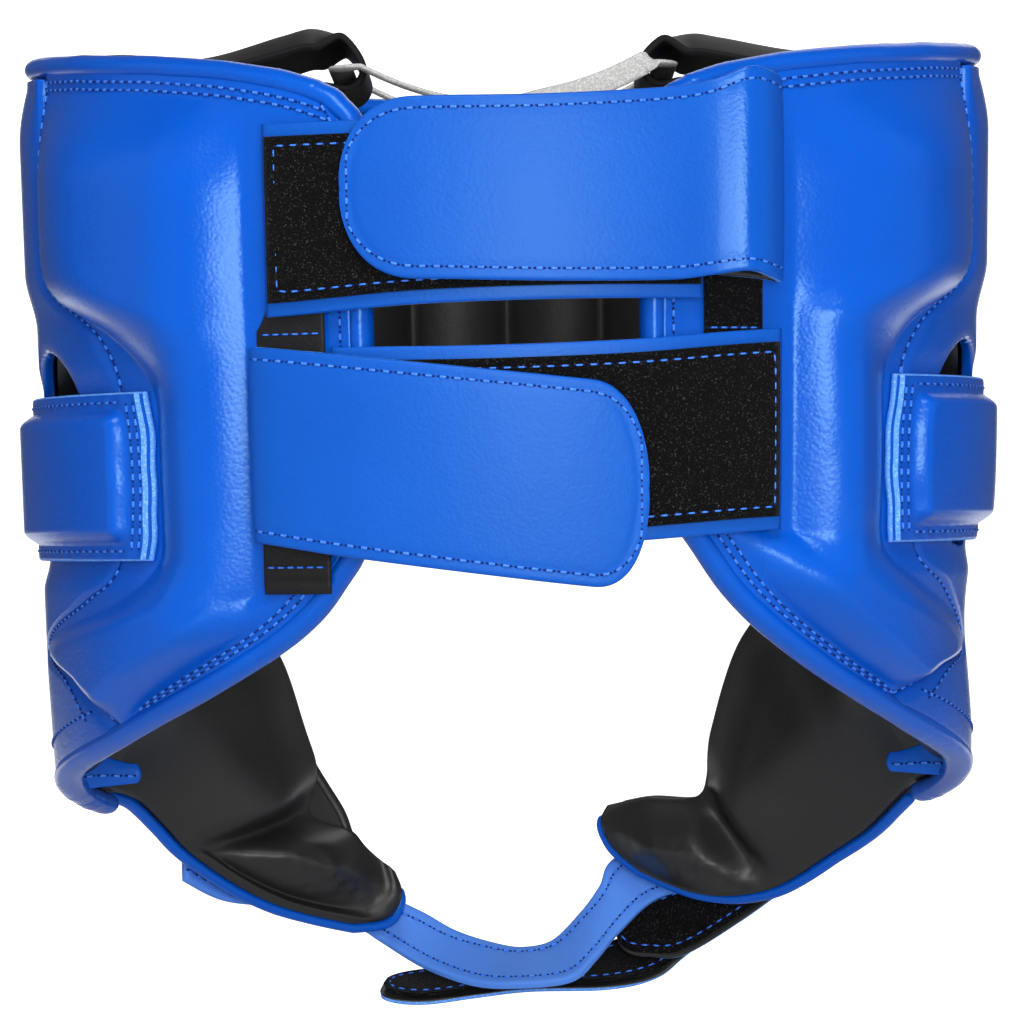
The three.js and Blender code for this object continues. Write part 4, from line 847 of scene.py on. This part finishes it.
# %% [markdown]
# ## Straps
# A strap is leather cut flat and wrapped. Each one is a middle surface in two parameters, t along and v across.
# Its thickness shrinks to a rounded lip at the edge, a shallow groove holds the stitches, and the wall of the edge
# shows the pale backing. Working in the flat chart of the strap gives the true distance to the edge, round ends too.

# %% Strap maker


def fine_across(count):
    """Parameters from 0 to 1, closer together near both edges, where the lip is."""
    return 0.5 - 0.5 * np.cos(np.pi * np.linspace(0, 1, count))


def flat_chart(surface):
    """Flat places of a wrapped strap: the run along its middle line, and the way across from that line."""
    step = np.linalg.norm(np.diff(surface, axis=1), axis=-1)
    across = np.concatenate([np.zeros((len(surface), 1)), np.cumsum(step, 1)], 1)
    across = across - across[:, -1:] / 2
    middle = surface[:, surface.shape[1] // 2]
    run = np.concatenate([[0], np.cumsum(np.linalg.norm(np.diff(middle, axis=0), axis=1))])
    return np.broadcast_to(run[:, None], across.shape), across


def normals(surface):
    """Unit normals of a grid of points, square to both of its directions."""
    return unit(np.cross(np.gradient(surface, axis=0), np.gradient(surface, axis=1)))


def edge_distance(run, across, root_open):
    """Distance of every place to the strap's outline, the nearest of its border points."""
    border = [(run[:, 0], across[:, 0]), (run[:, -1], across[:, -1]), (run[-1], across[-1])]
    if root_open:
        border.append((run[0], across[0]))
    outline = np.concatenate([np.stack(b, 1) for b in border])
    spots = np.stack([run.ravel(), across.ravel()], 1)
    away = np.full(len(spots), 1e9)
    for block in np.array_split(outline, max(len(outline) // 60, 1)):
        away = np.minimum(away, np.sqrt(((spots[:, None] - block[None]) ** 2).sum(-1)).min(1))
    return away.reshape(run.shape)


def strap(name, node, middle, columns, thickness, groove=2.7, lip=0.8, root_open=False, outward=None, faces_of=None,
          slot="blue_leather", crown=0.25):
    """A strap about its middle surface: half thickness times a lip that rounds off towards the edge, minus a
    groove of 0.16 mm under the stitches, plus a slight crown in the middle. Returns the piece, and its surface,
    normals, run and way across."""
    t, v = np.meshgrid(np.linspace(0, 1, columns), fine_across(40), indexing="ij")
    surface = middle(t, v)
    out = normals(surface)
    if outward is not None and (out * (surface - outward)).sum() < 0:
        out = -out
    run, across = flat_chart(surface)
    away = edge_distance(run, across, root_open)
    round_off = np.sqrt(1 - (1 - np.clip(away / lip, 0, 1)) ** 2)
    half = thickness / 2 * mix(0.45, 1, round_off)
    dip = 0.16 * np.exp(-(((away - groove) / 0.8) ** 2)) if groove else 0
    raised = half - dip + crown * (1 - np.exp(-away / 8))
    body = slab(surface + out * raised[..., None], surface - out * half[..., None])
    piece = dress(name, node, *body, faces_of or [strap_leather, black_leather, cut_edge], [0, 1, 2], slot)
    print(name, "run, mm:", round(float(run[-1, 0])), "width, mm:", round(float(np.ptp(across, 1).max())))
    return piece, (surface, out, run, across)


def strap_stitches(group, laid, inset, start=0.0, lift=1.0, root=False, width=0.66):
    """A stitch line parallel to the edge: the strap's border moved inwards by the inset, in the flat chart."""
    surface, out, run, across = laid
    half = np.ptp(across, 1) / 2
    ahead = run[-1, 0] - run[:, 0]
    inner = half - inset
    keep = (inner > 0.4) & (ahead > inset * 0.6) & (run[:, 0] >= (inset if root else start))
    share = np.clip(0.5 * (1 - inner / np.maximum(half, 1e-6)), 0, 0.5)
    rows = np.nonzero(keep)[0]
    shares = np.array([share[rows], 1 - share[rows]])
    places = across / np.maximum(np.ptp(across, 1)[:, None], 1e-6) + 0.5
    lines = []
    for wanted in shares:
        column = np.array([np.interp(w, places[r], np.arange(places.shape[1])) for r, w in zip(rows, wanted)])
        low = np.clip(np.floor(column).astype(int), 0, places.shape[1] - 2)
        f = (column - low)[:, None]
        point = mix(surface[rows, low], surface[rows, low + 1], f)
        normal = mix(out[rows, low], out[rows, low + 1], f)
        lines.append(np.concatenate([point + normal * lift, normal], 1))
    path = np.concatenate([lines[0], lines[1][::-1], lines[0][: int(root)]])
    stitch_row(group, path[:, :3], path[:, 3:], width=width)


# %% Closing straps across the rear


def x_to_phi(x, offset):
    """Plan angle of a strap at x, its offset from the wall included."""
    return np.degrees(np.arcsin(np.clip(x / (HALF_WIDTH + offset), -1, 1)))


def wrapped(rows, t, v, end, power=2.3):
    """A closing flap: rows of x, offset, top and low, wrapped on the wall. Over the last part, of length end mm,
    its half height falls off as a rounded end: h (1 - q^power)^(1/power)."""
    t = 1 - (1 - t) ** 1.25
    row = rows_at(rows, t)
    x, offset, top, low = (row[..., k] for k in range(4))
    middle, half = (top + low) / 2, (top - low) / 2
    q = np.clip(1 - np.abs(x - rows[-1][0]) / end, 0, 1) * (t > 0.4)
    half = half * np.maximum((1 - q**power), 1e-5) ** (1 / power)
    return wall(x_to_phi(x, offset), mix(middle + half, middle - half, v), offset)


ROOT, FLAT, RIDGE = 3.6, 7.8, 10.8
FOLD_X, FOLD_REACH = 54, 6
UPPER_FLAP = [
    # x, offset, top, low
    (46, ROOT, -12, -53), (57, ROOT + 0.15, -10.5, -54), (61.4, (ROOT + FLAT) / 2 + 0.5, -9.6, -54.8),
    (59, RIDGE - 0.8, -8, -53.8), (54.5, RIDGE, -7.4, -52.6), (46.5, FLAT + 0.4, -10.2, -53.4),
    (36, FLAT, -12, -54.5), (10, FLAT, -13.4, -54.5), (-18, FLAT, -13.4, -53.6), (-36.6, FLAT, -13.6, -53.2),
]
LOWER_FLAP = [
    (-42, ROOT, -69, -112), (-53.5, ROOT, -67.9, -111), (-57.4, (ROOT + FLAT) / 2, -67.5, -110.9),
    (-53.5, FLAT, -67.9, -111.6), (-38, FLAT, -69.7, -114.2), (-13, FLAT, -72.6, -117.7), (14, FLAT, -75.6, -121.2),
    (31.4, FLAT, -77.6, -123),
]
INSIDE = np.array([0, 0, -90])
for name, node, rows, end in (
    ("upper_closing_flap", "upper_flap", UPPER_FLAP, 17),
    ("lower_closing_flap", "lower_flap", LOWER_FLAP, 13),
):
    piece, laid = strap(
        name, node, lambda t, v: wrapped(rows, t, v, end), 180, 2.0, outward=INSIDE,
    )
    bend = piece.data.attributes.new("bend", "FLOAT", "POINT")
    folded = np.exp(-(((laid[0][..., 0] - FOLD_X) / FOLD_REACH) ** 2)).ravel()
    bend.data.foreach_set("value", np.tile(folded, 2).astype(np.float32))
    strap_stitches("closing_straps", laid, 2.7, start=14)

# %% Base straps and loop tapes
UPPER_BASE = [(-54, -18, -61), (-20, -18, -59), (10, -18.2, -58.3), (44, -18.5, -58.3)]
LOWER_BASE = [(-39.5, -68, -114), (0, -68.2, -113), (37, -67.3, -111.8), (62, -65, -109.8)]


def base_surface(rows, t, v, offset, inset=0.0, end_inset=0.0):
    """A base strap or tape at one offset from the wall, drawn in by an inset above and below, and at its ends."""
    rows = np.asarray(rows, float)
    span = rows[-1, 0] - rows[0, 0]
    at = mix(end_inset / abs(span), 1 - end_inset / abs(span), t)
    row = rows_at(rows, at)
    x = rows[0, 0] + span * at
    return wall(x_to_phi(x, offset), mix(row[..., 1] - inset, row[..., 2] + inset, v), offset)


for word, rows in (("upper", UPPER_BASE), ("lower", LOWER_BASE)):
    strap(
        f"{word}_base_strap_leather", f"{word}_base_strap", lambda t, v: base_surface(rows, t, v, 3.6), 80, 2.0,
        groove=0, root_open=True, outward=INSIDE, crown=0.0,
    )
    _, laid = strap(
        f"{word}_loop_tape_pile", f"{word}_loop_tape", lambda t, v: base_surface(rows, t, v, 5.65, 3.0, 0.4), 80, 1.5,
        groove=1.6, lip=0.6, root_open=True, outward=INSIDE, faces_of=[loop_pile] * 3, slot="loop_pile", crown=0.0,
    )
    strap_stitches("closing_straps", laid, 2.2, lift=0.62, root=True, width=0.45)

# %% Anchor strips under the straps
ANCHORS = {
    # x, top and low of both borders, and how far the end is lifted over the roll
    "left": ([(-56.5, -64, -122.5), (-41, -22, -122.5)], 0.8, satin_ribbon),
    "right": ([(44.5, -14, -104), (57.8, -14, -104)], 0.0, loop_pile),
}
for word, (rows, lift, skin) in ANCHORS.items():

    def ribbon(t, v):
        """The ribbon 1.8 mm off the wall; its end rises over the roll, and sags a little between its stitches."""
        z = base_surface(rows, t, v, 1.8)[..., 2]
        end = lift * (1 - smooth(z, -119, -113.5)) * (1 - 0.9 * np.cos(2 * np.pi * (z + 118.4) / 4.2))
        return base_surface(rows, t, v, 1.8 + end)

    piece, _ = strap(
        f"{word}_anchor_ribbon", f"{word}_strap_anchor", ribbon, 40, 1.0, groove=0, lip=0.4, root_open=True,
        outward=INSIDE, faces_of=[skin] * 3, slot="black_leather", crown=0.0,
    )
    for height in (-64.8, -116.6, -120.8)[: 3 if lift else 1]:
        x = np.linspace(rows[0][0] + 1, rows[1][0] - 1, 40)
        line = wall(x_to_phi(x, 2.4), height, 2.4 + lift * (height < -100))
        stitch_row("closing_straps", line, line - INSIDE, width=0.45)

# %% [markdown]
# ## Ear bands
# A padded bar crosses each ear hole. It is a block of foam wrapped in leather, with a flat flange sewn down all
# round. A bevelled box would need bending to the head, so its height is worked out on the head form instead: a
# flat flange plus a plateau with rounded shoulders.

# %% Ear bands
BAND = {"front": 94, "half": 19.3, "flange": 2, "pad": 3.4, "bridge": 0.6, "bow": 1.2}
for side, word in SIDES:
    rear, middle_z = BAND_REAR[side], BAND_Z[side]
    u, v = np.meshgrid(fine_across(110), fine_across(74))
    long = (BAND["front"] - rear) * MM_PER_DEGREE
    z = middle_z + BAND["half"] * (1 - 2 * v)
    wavy = 0.16 * np.sin(z / 4.3 + side) + 0.09 * np.sin(z / 1.9)
    phi = mix(rear + BAND["bow"] * (2 * v - 1) ** 2 + wavy, BAND["front"], u)
    from_rear, from_ends = u * long, np.minimum(u, 1 - u) * long
    from_edges = np.minimum(v, 1 - v) * 2 * BAND["half"]
    corner = np.hypot(np.clip(11.5 - from_ends, 0, None), np.clip(7.3 - from_edges, 0, None))
    plateau = swell(3.4 - corner, 3.2)
    lift = GAP + BAND["bridge"] * np.sin(np.pi * u)
    lip = np.sqrt(1 - (1 - np.clip(np.minimum(from_ends, from_edges) / 0.7, 0, 1)) ** 2)
    layers = mix(0.55, 1, smooth(from_rear, 2.0, 2.5))
    top = lift + BAND["flange"] * layers * mix(0.6, 1, lip) + BAND["pad"] * plateau
    top = top + 0.12 * np.exp(-(((from_edges - 2.3) / 2) ** 2)) * np.sin(2 * np.pi * u * long / 6.4)
    points, (skin_faces, back_faces, walls) = slab(wall(phi, z, top, side), wall(phi, z, lift, side))
    cell = (from_rear[:-1, :-1] + from_rear[1:, 1:]) / 2
    edge_cell = (from_edges[:-1, :-1] + from_edges[1:, 1:]) / 2
    pale = ((cell < 0.7) | ((cell > 1.9) & (cell < 2.6)) | (edge_cell < 0.45)).ravel()
    faces = [skin_faces[~pale], back_faces, np.concatenate([walls, skin_faces[pale]])]
    skins = [blue_leather, black_leather, cut_edge]
    dress(f"{word}_ear_bar", f"{word}_ear_band", points, faces, skins, [0, 1, 2], fill=0.9)
    down, along = np.linspace(0.06, 0.94, 200), np.linspace(0.09, 0.97, 300)
    hem = 2.3 / (2 * BAND["half"])
    for s, w in ((3.6 / long, down), (6.2 / long, down), (along, hem), (along, 1 - hem)):
        angle = mix(rear + BAND["bow"] * (2 * w - 1) ** 2, BAND["front"], s)
        line_z = middle_z + BAND["half"] * (1 - 2 * w)
        line = wall(angle, line_z, GAP + BAND["flange"] + BAND["bridge"] * np.sin(np.pi * s), side)
        stitch_row("ear_bars", line, wall(angle, line_z, 20, side) - line)

# %% [markdown]
# ## Crown tabs and lace
# Two black leather tabs reach in from the rim over the head, and each ends in a hem. A flat white lace runs
# through both hems and holds the tabs together. Cloth could be draped over a head, but the hem's bend is known,
# so each tab is one profile carried across, and the lace is a flat ring carried round a closed loop.

# %% Crown tabs
CROWN_TAB = [
    # x, height, half width
    (102.6, 3.2, 32), (90, 3.6, 31), (72, 4.6, 29), (53, 10, 27), (45, 11.6, 26), (37.5, 8, 25), (33.2, 1, 25),
    (36, -3.6, 25), (43, -3, 25),
]
CROWN_ARCH, CROWN_FOOT = {LEFT: 1.0, RIGHT: 0.7}, 3.2
for side, word in SIDES:

    def tab(t, v):
        """The tab over the crown; its root is rounded, and its sides drop with the square of the way across."""
        row = rows_at(CROWN_TAB, t)
        across = 2 * v - 1
        rounding = 4.8 * (1 - across**2) * (1 - smooth(t, 0, 0.3))
        arched = mix(CROWN_FOOT, row[..., 1], CROWN_ARCH[side])
        high = np.where(row[..., 1] > CROWN_FOOT, arched, row[..., 1])
        drop = 6 * across**2 * smooth(t, 0.12, 0.35) * (1 - smooth(t, 0.5, 0.62))
        return np.stack([side * (row[..., 0] + rounding), row[..., 2] * across, high - drop], -1)

    strap(
        f"{word}_crown_tab_leather", f"{word}_crown_tab", tab, 100, 1.8, groove=0, root_open=True,
        outward=np.array([side * 60, 0, -60]), faces_of=[crown_leather] * 3, slot="black_leather", crown=0.0,
    )

# %% Crown lace
LACE = {"width": 6, "thick": 1.4, "reach": 38.5, "spread": 29, "hem": 0.8, "sag": 9, "corner": 5}
straight_x, straight_y = LACE["reach"] - LACE["corner"], LACE["spread"] - LACE["corner"]
quarters = np.array([(1, 1), (-1, 1), (-1, -1), (1, -1)]) * (straight_x, straight_y)
plan = []
for number, middle in enumerate(quarters):
    turn = np.linspace(0, np.pi / 2, 14) + number * np.pi / 2
    arc = LACE["corner"] * np.stack([np.cos(turn), np.sin(turn)], 1)
    after = quarters[(number + 1) % 4] + arc[-1]
    plan += [middle + arc, mix(middle + arc[-1], after, np.linspace(0, 1, 60)[1:-1, None])]
plan = np.concatenate(plan)
strand = np.abs(plan[:, 1]) > LACE["spread"] - 0.5
drop = np.where(strand, LACE["sag"] * np.clip(1 - (plan[:, 0] / straight_x) ** 2, 0, 1), 0)
path = np.concatenate([plan, (LACE["hem"] - drop)[:, None]], 1)
tangent = along_path(path, closed=True)
flatway = unit(np.cross(tangent, [0, 0, 1]))
upway = np.cross(flatway, tangent)
near_strand = path[:, 1] < -LACE["spread"] + 0.5
turn = -1.2 * smooth(path[:, 0], -8, 14) * (1 - smooth(path[:, 0], 33, 37)) * near_strand
cos, sin = np.cos(turn)[:, None], np.sin(turn)[:, None]
flatway, upway = flatway * cos + upway * sin, upway * cos - flatway * sin
angle = np.linspace(0, 2 * np.pi, 20, endpoint=False)
wide = LACE["width"] / 2 * np.sign(np.cos(angle)) * np.abs(np.cos(angle)) ** 0.6
high = LACE["thick"] / 2 * np.sign(np.sin(angle)) * np.abs(np.sin(angle)) ** 0.8
ring = wide[:, None] * flatway[:, None] + high[:, None] * upway[:, None]
body = sweep(path[:, None] + ring, closed=True)
lace = dress("crown_lace_cord", "crown_lace", *body, [white_lace], slot="white_lace")

# %% [markdown]
# ## Chin strap
# A blue strap runs under the chin from one cheek to the other. On the right it ends in a short tab and a long
# tail, both faced with loop tape. A curve with a flat bevel would leave its twist to Blender, so each strap is
# given by rows of its two edges and twists where the real one does.

# %% Chin strap tables


def hug(side, phi, offset, top_z, low_z):
    """A row of a strap that hugs the outside of a cheek: its top and its low point."""
    return (*wall(phi, top_z, offset, side), *wall(phi, low_z, offset, side))


CHIN_STRAP = [
    hug(LEFT, 131, 4.4, -178, -198.5), hug(LEFT, 138, 4.4, -184.5, -204.5), hug(LEFT, 147, 4.4, -193.5, -207.5),
    hug(LEFT, 157, 5, -200.5, -212.5), (-26.5, 110, -209.6, -36.1, 106, -217.6),
    (-15.9, 109, -215.8, -24.4, 100, -224.1), (-4.5, 108, -219.6, -11.2, 93, -228.1),
    (2.6, 107, -220.4, 1.3, 90, -228.5), (10, 107, -218.4, 14.1, 91, -227.2),
    (17.7, 107.5, -210.8, 20.9, 95, -222), (22.2, 108.5, -204.5, 27.6, 101, -215.2),
    (27, 109.5, -196.5, 36.9, 104.5, -207.7), hug(RIGHT, 154, 4.8, -187, -204), hug(RIGHT, 146, 4.4, -181, -199),
    hug(RIGHT, 138, 4.4, -177, -196),
]
CHIN_TAB = [
    hug(RIGHT, 142, 8.6, -187, -203), hug(RIGHT, 150, 8.6, -196, -213.5), hug(RIGHT, 158, 8.8, -203, -222.5),
    hug(RIGHT, 163, 9, -206.5, -223), hug(RIGHT, 167, 9, -208.5, -222.5),
]
CHIN_TAIL = [
    hug(RIGHT, 140, 12, -188, -202), hug(RIGHT, 148, 12.2, -195, -209.5), (43, 112.5, -207, 46, 109, -222),
    (31, 118, -217.5, 37, 109, -228.6), (17, 120, -223.3, 24, 104, -230.8), (1.3, 120, -225, 3, 102, -230.8),
    (-10.7, 119, -226.5, -11, 100, -232), (-23.2, 116, -227.6, -23.9, 98, -233.3),
    (-35.8, 111, -228.2, -36.5, 95, -232.6),
]


def edged(rows, t, v, inset=0.0, round_end=0.0):
    """A strap between its two edges, drawn in by an inset share. Over the last share of its run, round_end, its
    width falls off as a half ellipse."""
    row = rows_at(rows, mix(0, 1 - inset / 4, t))
    q = np.clip(1 - (1 - t) / max(round_end, 1e-6), 0, 1)
    width = np.sqrt(np.maximum(1 - q**2.4, 1e-5))
    return mix(row[..., :3], row[..., 3:], (0.5 + (mix(inset, 1 - inset, v) - 0.5) * width)[..., None])


# %% Chin strap pieces
_, laid = strap(
    "chin_strap_leather", "chin_strap", lambda t, v: edged(CHIN_STRAP, t, v), 220, 2.4, groove=3.0, lip=1.2,
    root_open=True, outward=np.array([0, 300, -150]), faces_of=[chin_leather_painted_sheen] * 3,
)
strap_stitches("chin_strap_seams", laid, 3.0, lift=1.2)
TAPE_OFFSET = 2.0
for word, rows, inset, end in (("tab", CHIN_TAB, 0.06, 0.22), ("tail", CHIN_TAIL, 0.05, 0.11)):
    _, (surface, out, *_) = strap(
        f"chin_{word}_leather", f"chin_{word}", lambda t, v: edged(rows, t, v, 0.0, end), 100, 1.4, groove=0, lip=0.5,
        root_open=True, outward=np.array([20, 60, -150]), faces_of=[chin_leather_painted_sheen, black_leather, cut_edge], crown=0.0,
    )
    away = -TAPE_OFFSET if (normals(surface) * out).sum() > 0 else TAPE_OFFSET
    _, (surface, _, run, across) = strap(
        f"chin_{word}_loop_pile", f"chin_{word}_tape",
        lambda t, v: edged(rows, t, v, inset, end) + away * normals(edged(rows, t, v)),
        100, 1.0, groove=1.4, lip=0.4, root_open=True, faces_of=[loop_pile] * 3, slot="loop_pile", crown=0.0,
    )
    strap_stitches("chin_strap_seams", (surface, -out, run, across), 2.0, lift=0.45, width=0.42)

# %% [markdown]
# ## Stitch lines of the panels
# The pads are sewn with two rows along the rim and the lower edge, and with one along the rear edge and the ear
# seam. Each line is drawn in the panel's own two parameters, so it sits on the padding, pressed or full.

# %% Panel stitches


def on_pad(phi, z, offset, side):
    """Points just above padding of that offset, and their outward normals."""
    at = wall(phi, z, offset + 0.15, side)
    return at, wall(phi, z, 30, side) - at


def panel_line(u, v, side):
    """Points and outward normals of a line on a back pad."""
    phi, z, _ = back_place(u, v, side)
    return on_pad(phi, z, back_offset(u, v, side), side)


def ear_line(u, v, side):
    """Points and outward normals of a line on an ear pad."""
    phi, z, width = ear_place(u, v, side)
    return on_pad(phi, z, ear_offset(u, v, width, phi, z, side), side)


def below_rim(u, inset, side):
    """The row parameters at which a back pad lies that far below the rim's roll, by a few Newton steps."""
    v = np.full_like(u, 0.02)
    for _ in range(8):
        (phi, z, _), (phi2, z2, _) = back_place(u, v, side), back_place(u, v + 1e-4, side)
        drop, drop2 = under_rim(phi) - z, under_rim(phi2) - z2
        v = np.clip(v + (inset - drop) * 1e-4 / (drop2 - drop), 0, 0.3)
    return v


for side, _ in SIDES:
    u = np.linspace(0.03, 0.99, 400)
    for inset in (0.5, 2.4):
        stitch_row("panel_seams", *panel_line(u, below_rim(u, inset, side), side))
    for inset, first in ((2.5, 0.02), (5.3, 0.65)):
        v = np.linspace(first, 0.985, 900)
        stitch_row("panel_seams", *panel_line(inset / back_place(0 * v, v, side)[2], v, side))
    for first, last in ((0.01, 0.486), (0.612, 0.985)):
        v = np.linspace(first, last, 500)
        stitch_row("panel_seams", *panel_line(1 - 1.0 / back_place(0 * v, v, side)[2], v, side))
    v = np.linspace(0.815, 0.965, 200)
    stitch_row("panel_seams", *ear_line(np.linspace(0.05, 0.13, 200), v, side))
    stitch_row("panel_seams", *ear_line(np.linspace(0.06, 0.9, 300), np.full(300, 0.955), side))
for group in ("panel_seams", "closing_straps", "ear_bars", "chin_strap_seams"):
    add_stitches(group, f"{group}_stitching")

# %% [markdown]
# ## Camera, light and floor
# The photograph was taken level, from behind, with a long lens and a slight roll. A large soft light stands by
# the camera, with weaker ones to the sides and above, over a pale sweep. A picture of a studio could light it too,
# but lamps can be moved until each gleam on the leather sits where it should.

# %% Camera
camera_data = bpy.data.cameras.new("photo camera")
camera_data.sensor_width = 36
camera_data.lens = 174.1
camera_data.clip_end = 20
camera = bpy.data.objects.new("photo camera", camera_data)
camera.location = (0.0005, -1.2, -0.105)
camera.rotation_euler = (math.pi / 2, 0.0157, 0)
bpy.context.scene.collection.objects.link(camera)
bpy.context.scene.camera = camera

# %% Light
LAMPS = {
    # name: place, size, power in watts
    "camera softbox": ((0.2, -1.7, 0.05), 0.72, 18),
    "left fill": ((-1.7, -0.9, 0.3), 3.0, 9),
    "right fill": ((1.7, -0.9, 0.3), 3.0, 7),
    "high softbox": ((0.0, -1.1, 1.15), 0.9, 18),
    "far side light": ((0.3, 1.5, 1.0), 1.2, 4),
}
for name, (place, size, power) in LAMPS.items():
    lamp = bpy.data.lights.new(name, "AREA")
    lamp.shape, lamp.size, lamp.energy = "DISK", size, power
    holder = bpy.data.objects.new(name, lamp)
    holder.location = place
    to = np.array([0, 0, -0.1]) - np.array(place)
    holder.rotation_euler = (math.atan2(math.hypot(to[0], to[1]), -to[2]), 0, math.atan2(to[0], -to[1]) + math.pi)
    bpy.context.scene.collection.objects.link(holder)
world = bpy.data.worlds.new("studio air")
bpy.context.scene.world = world
world.use_nodes = True
air = {"Color": linear("#ffffff"), "Strength": 0.12}
set_inputs(world.node_tree, world.node_tree.nodes["Background"], air)
bpy.context.scene.view_settings.view_transform = "Standard"
print("lamps:", ", ".join(LAMPS))

# %% Pale sweep


def stage_sheet(name, points, faces, material_name, inputs):
    """A plain matt sheet of the stage."""
    mesh = bpy.data.meshes.new(name)
    mesh.from_pydata(points, [], faces)
    material, tree, skin, _ = new_material(material_name)
    set_inputs(tree, skin, {"Roughness": 0.9, **inputs})
    mesh.materials.append(material)
    piece = bpy.data.objects.new(name, mesh)
    bpy.context.scene.collection.objects.link(piece)
    return piece


# Paper that starts flat behind the object, then turns up by a quarter circle and goes on upright, in metres
FLAT_END, TURN, HALF_SWEEP, SWEEP_TOP, FLOOR_Z = 2.4, 0.8, 0.8, 1.3, -0.3
swing = TURN * np.sin(np.linspace(0, np.pi / 2, 20)[1:])
y = np.concatenate([np.linspace(0.5, FLAT_END, 6), FLAT_END + swing, [FLAT_END + TURN]])
rise = TURN - np.sqrt(np.clip(TURN**2 - swing**2, 0, 1))
z = np.concatenate([np.zeros(6), rise, [SWEEP_TOP]]) + FLOOR_Z
edge = np.stack([y, z], 1)
points = np.concatenate([np.insert(edge, 0, -HALF_SWEEP, 1), np.insert(edge, 0, HALF_SWEEP, 1)])
count = len(edge)
n = np.arange(count - 1)
faces = np.stack([n, n + count, n + count + 1, n + 1], 1)
glow = {"Base Color": linear("#f7f7f7"), "Emission Color": linear("#ffffff"), "Emission Strength": 0.9}
floor = stage_sheet("pale sweep", points.tolist(), faces.tolist(), "white paper sweep", glow)
corners = [(x, y, FLOOR_Z - 0.001) for x, y in ((-3, -3), (3, -3), (3, 3), (-3, 3))]
board = {"Base Color": linear("#e6e6e6")}
table = stage_sheet("pale floor", corners, [(0, 1, 2, 3)], "pale floor board", board)
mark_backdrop(floor, table)
print("stage:", floor.name, "and", table.name)

# %% Sizes
low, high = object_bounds()
print("dressed box, mm:", [round(v * 1000, 1) for v in (*low, *high)])
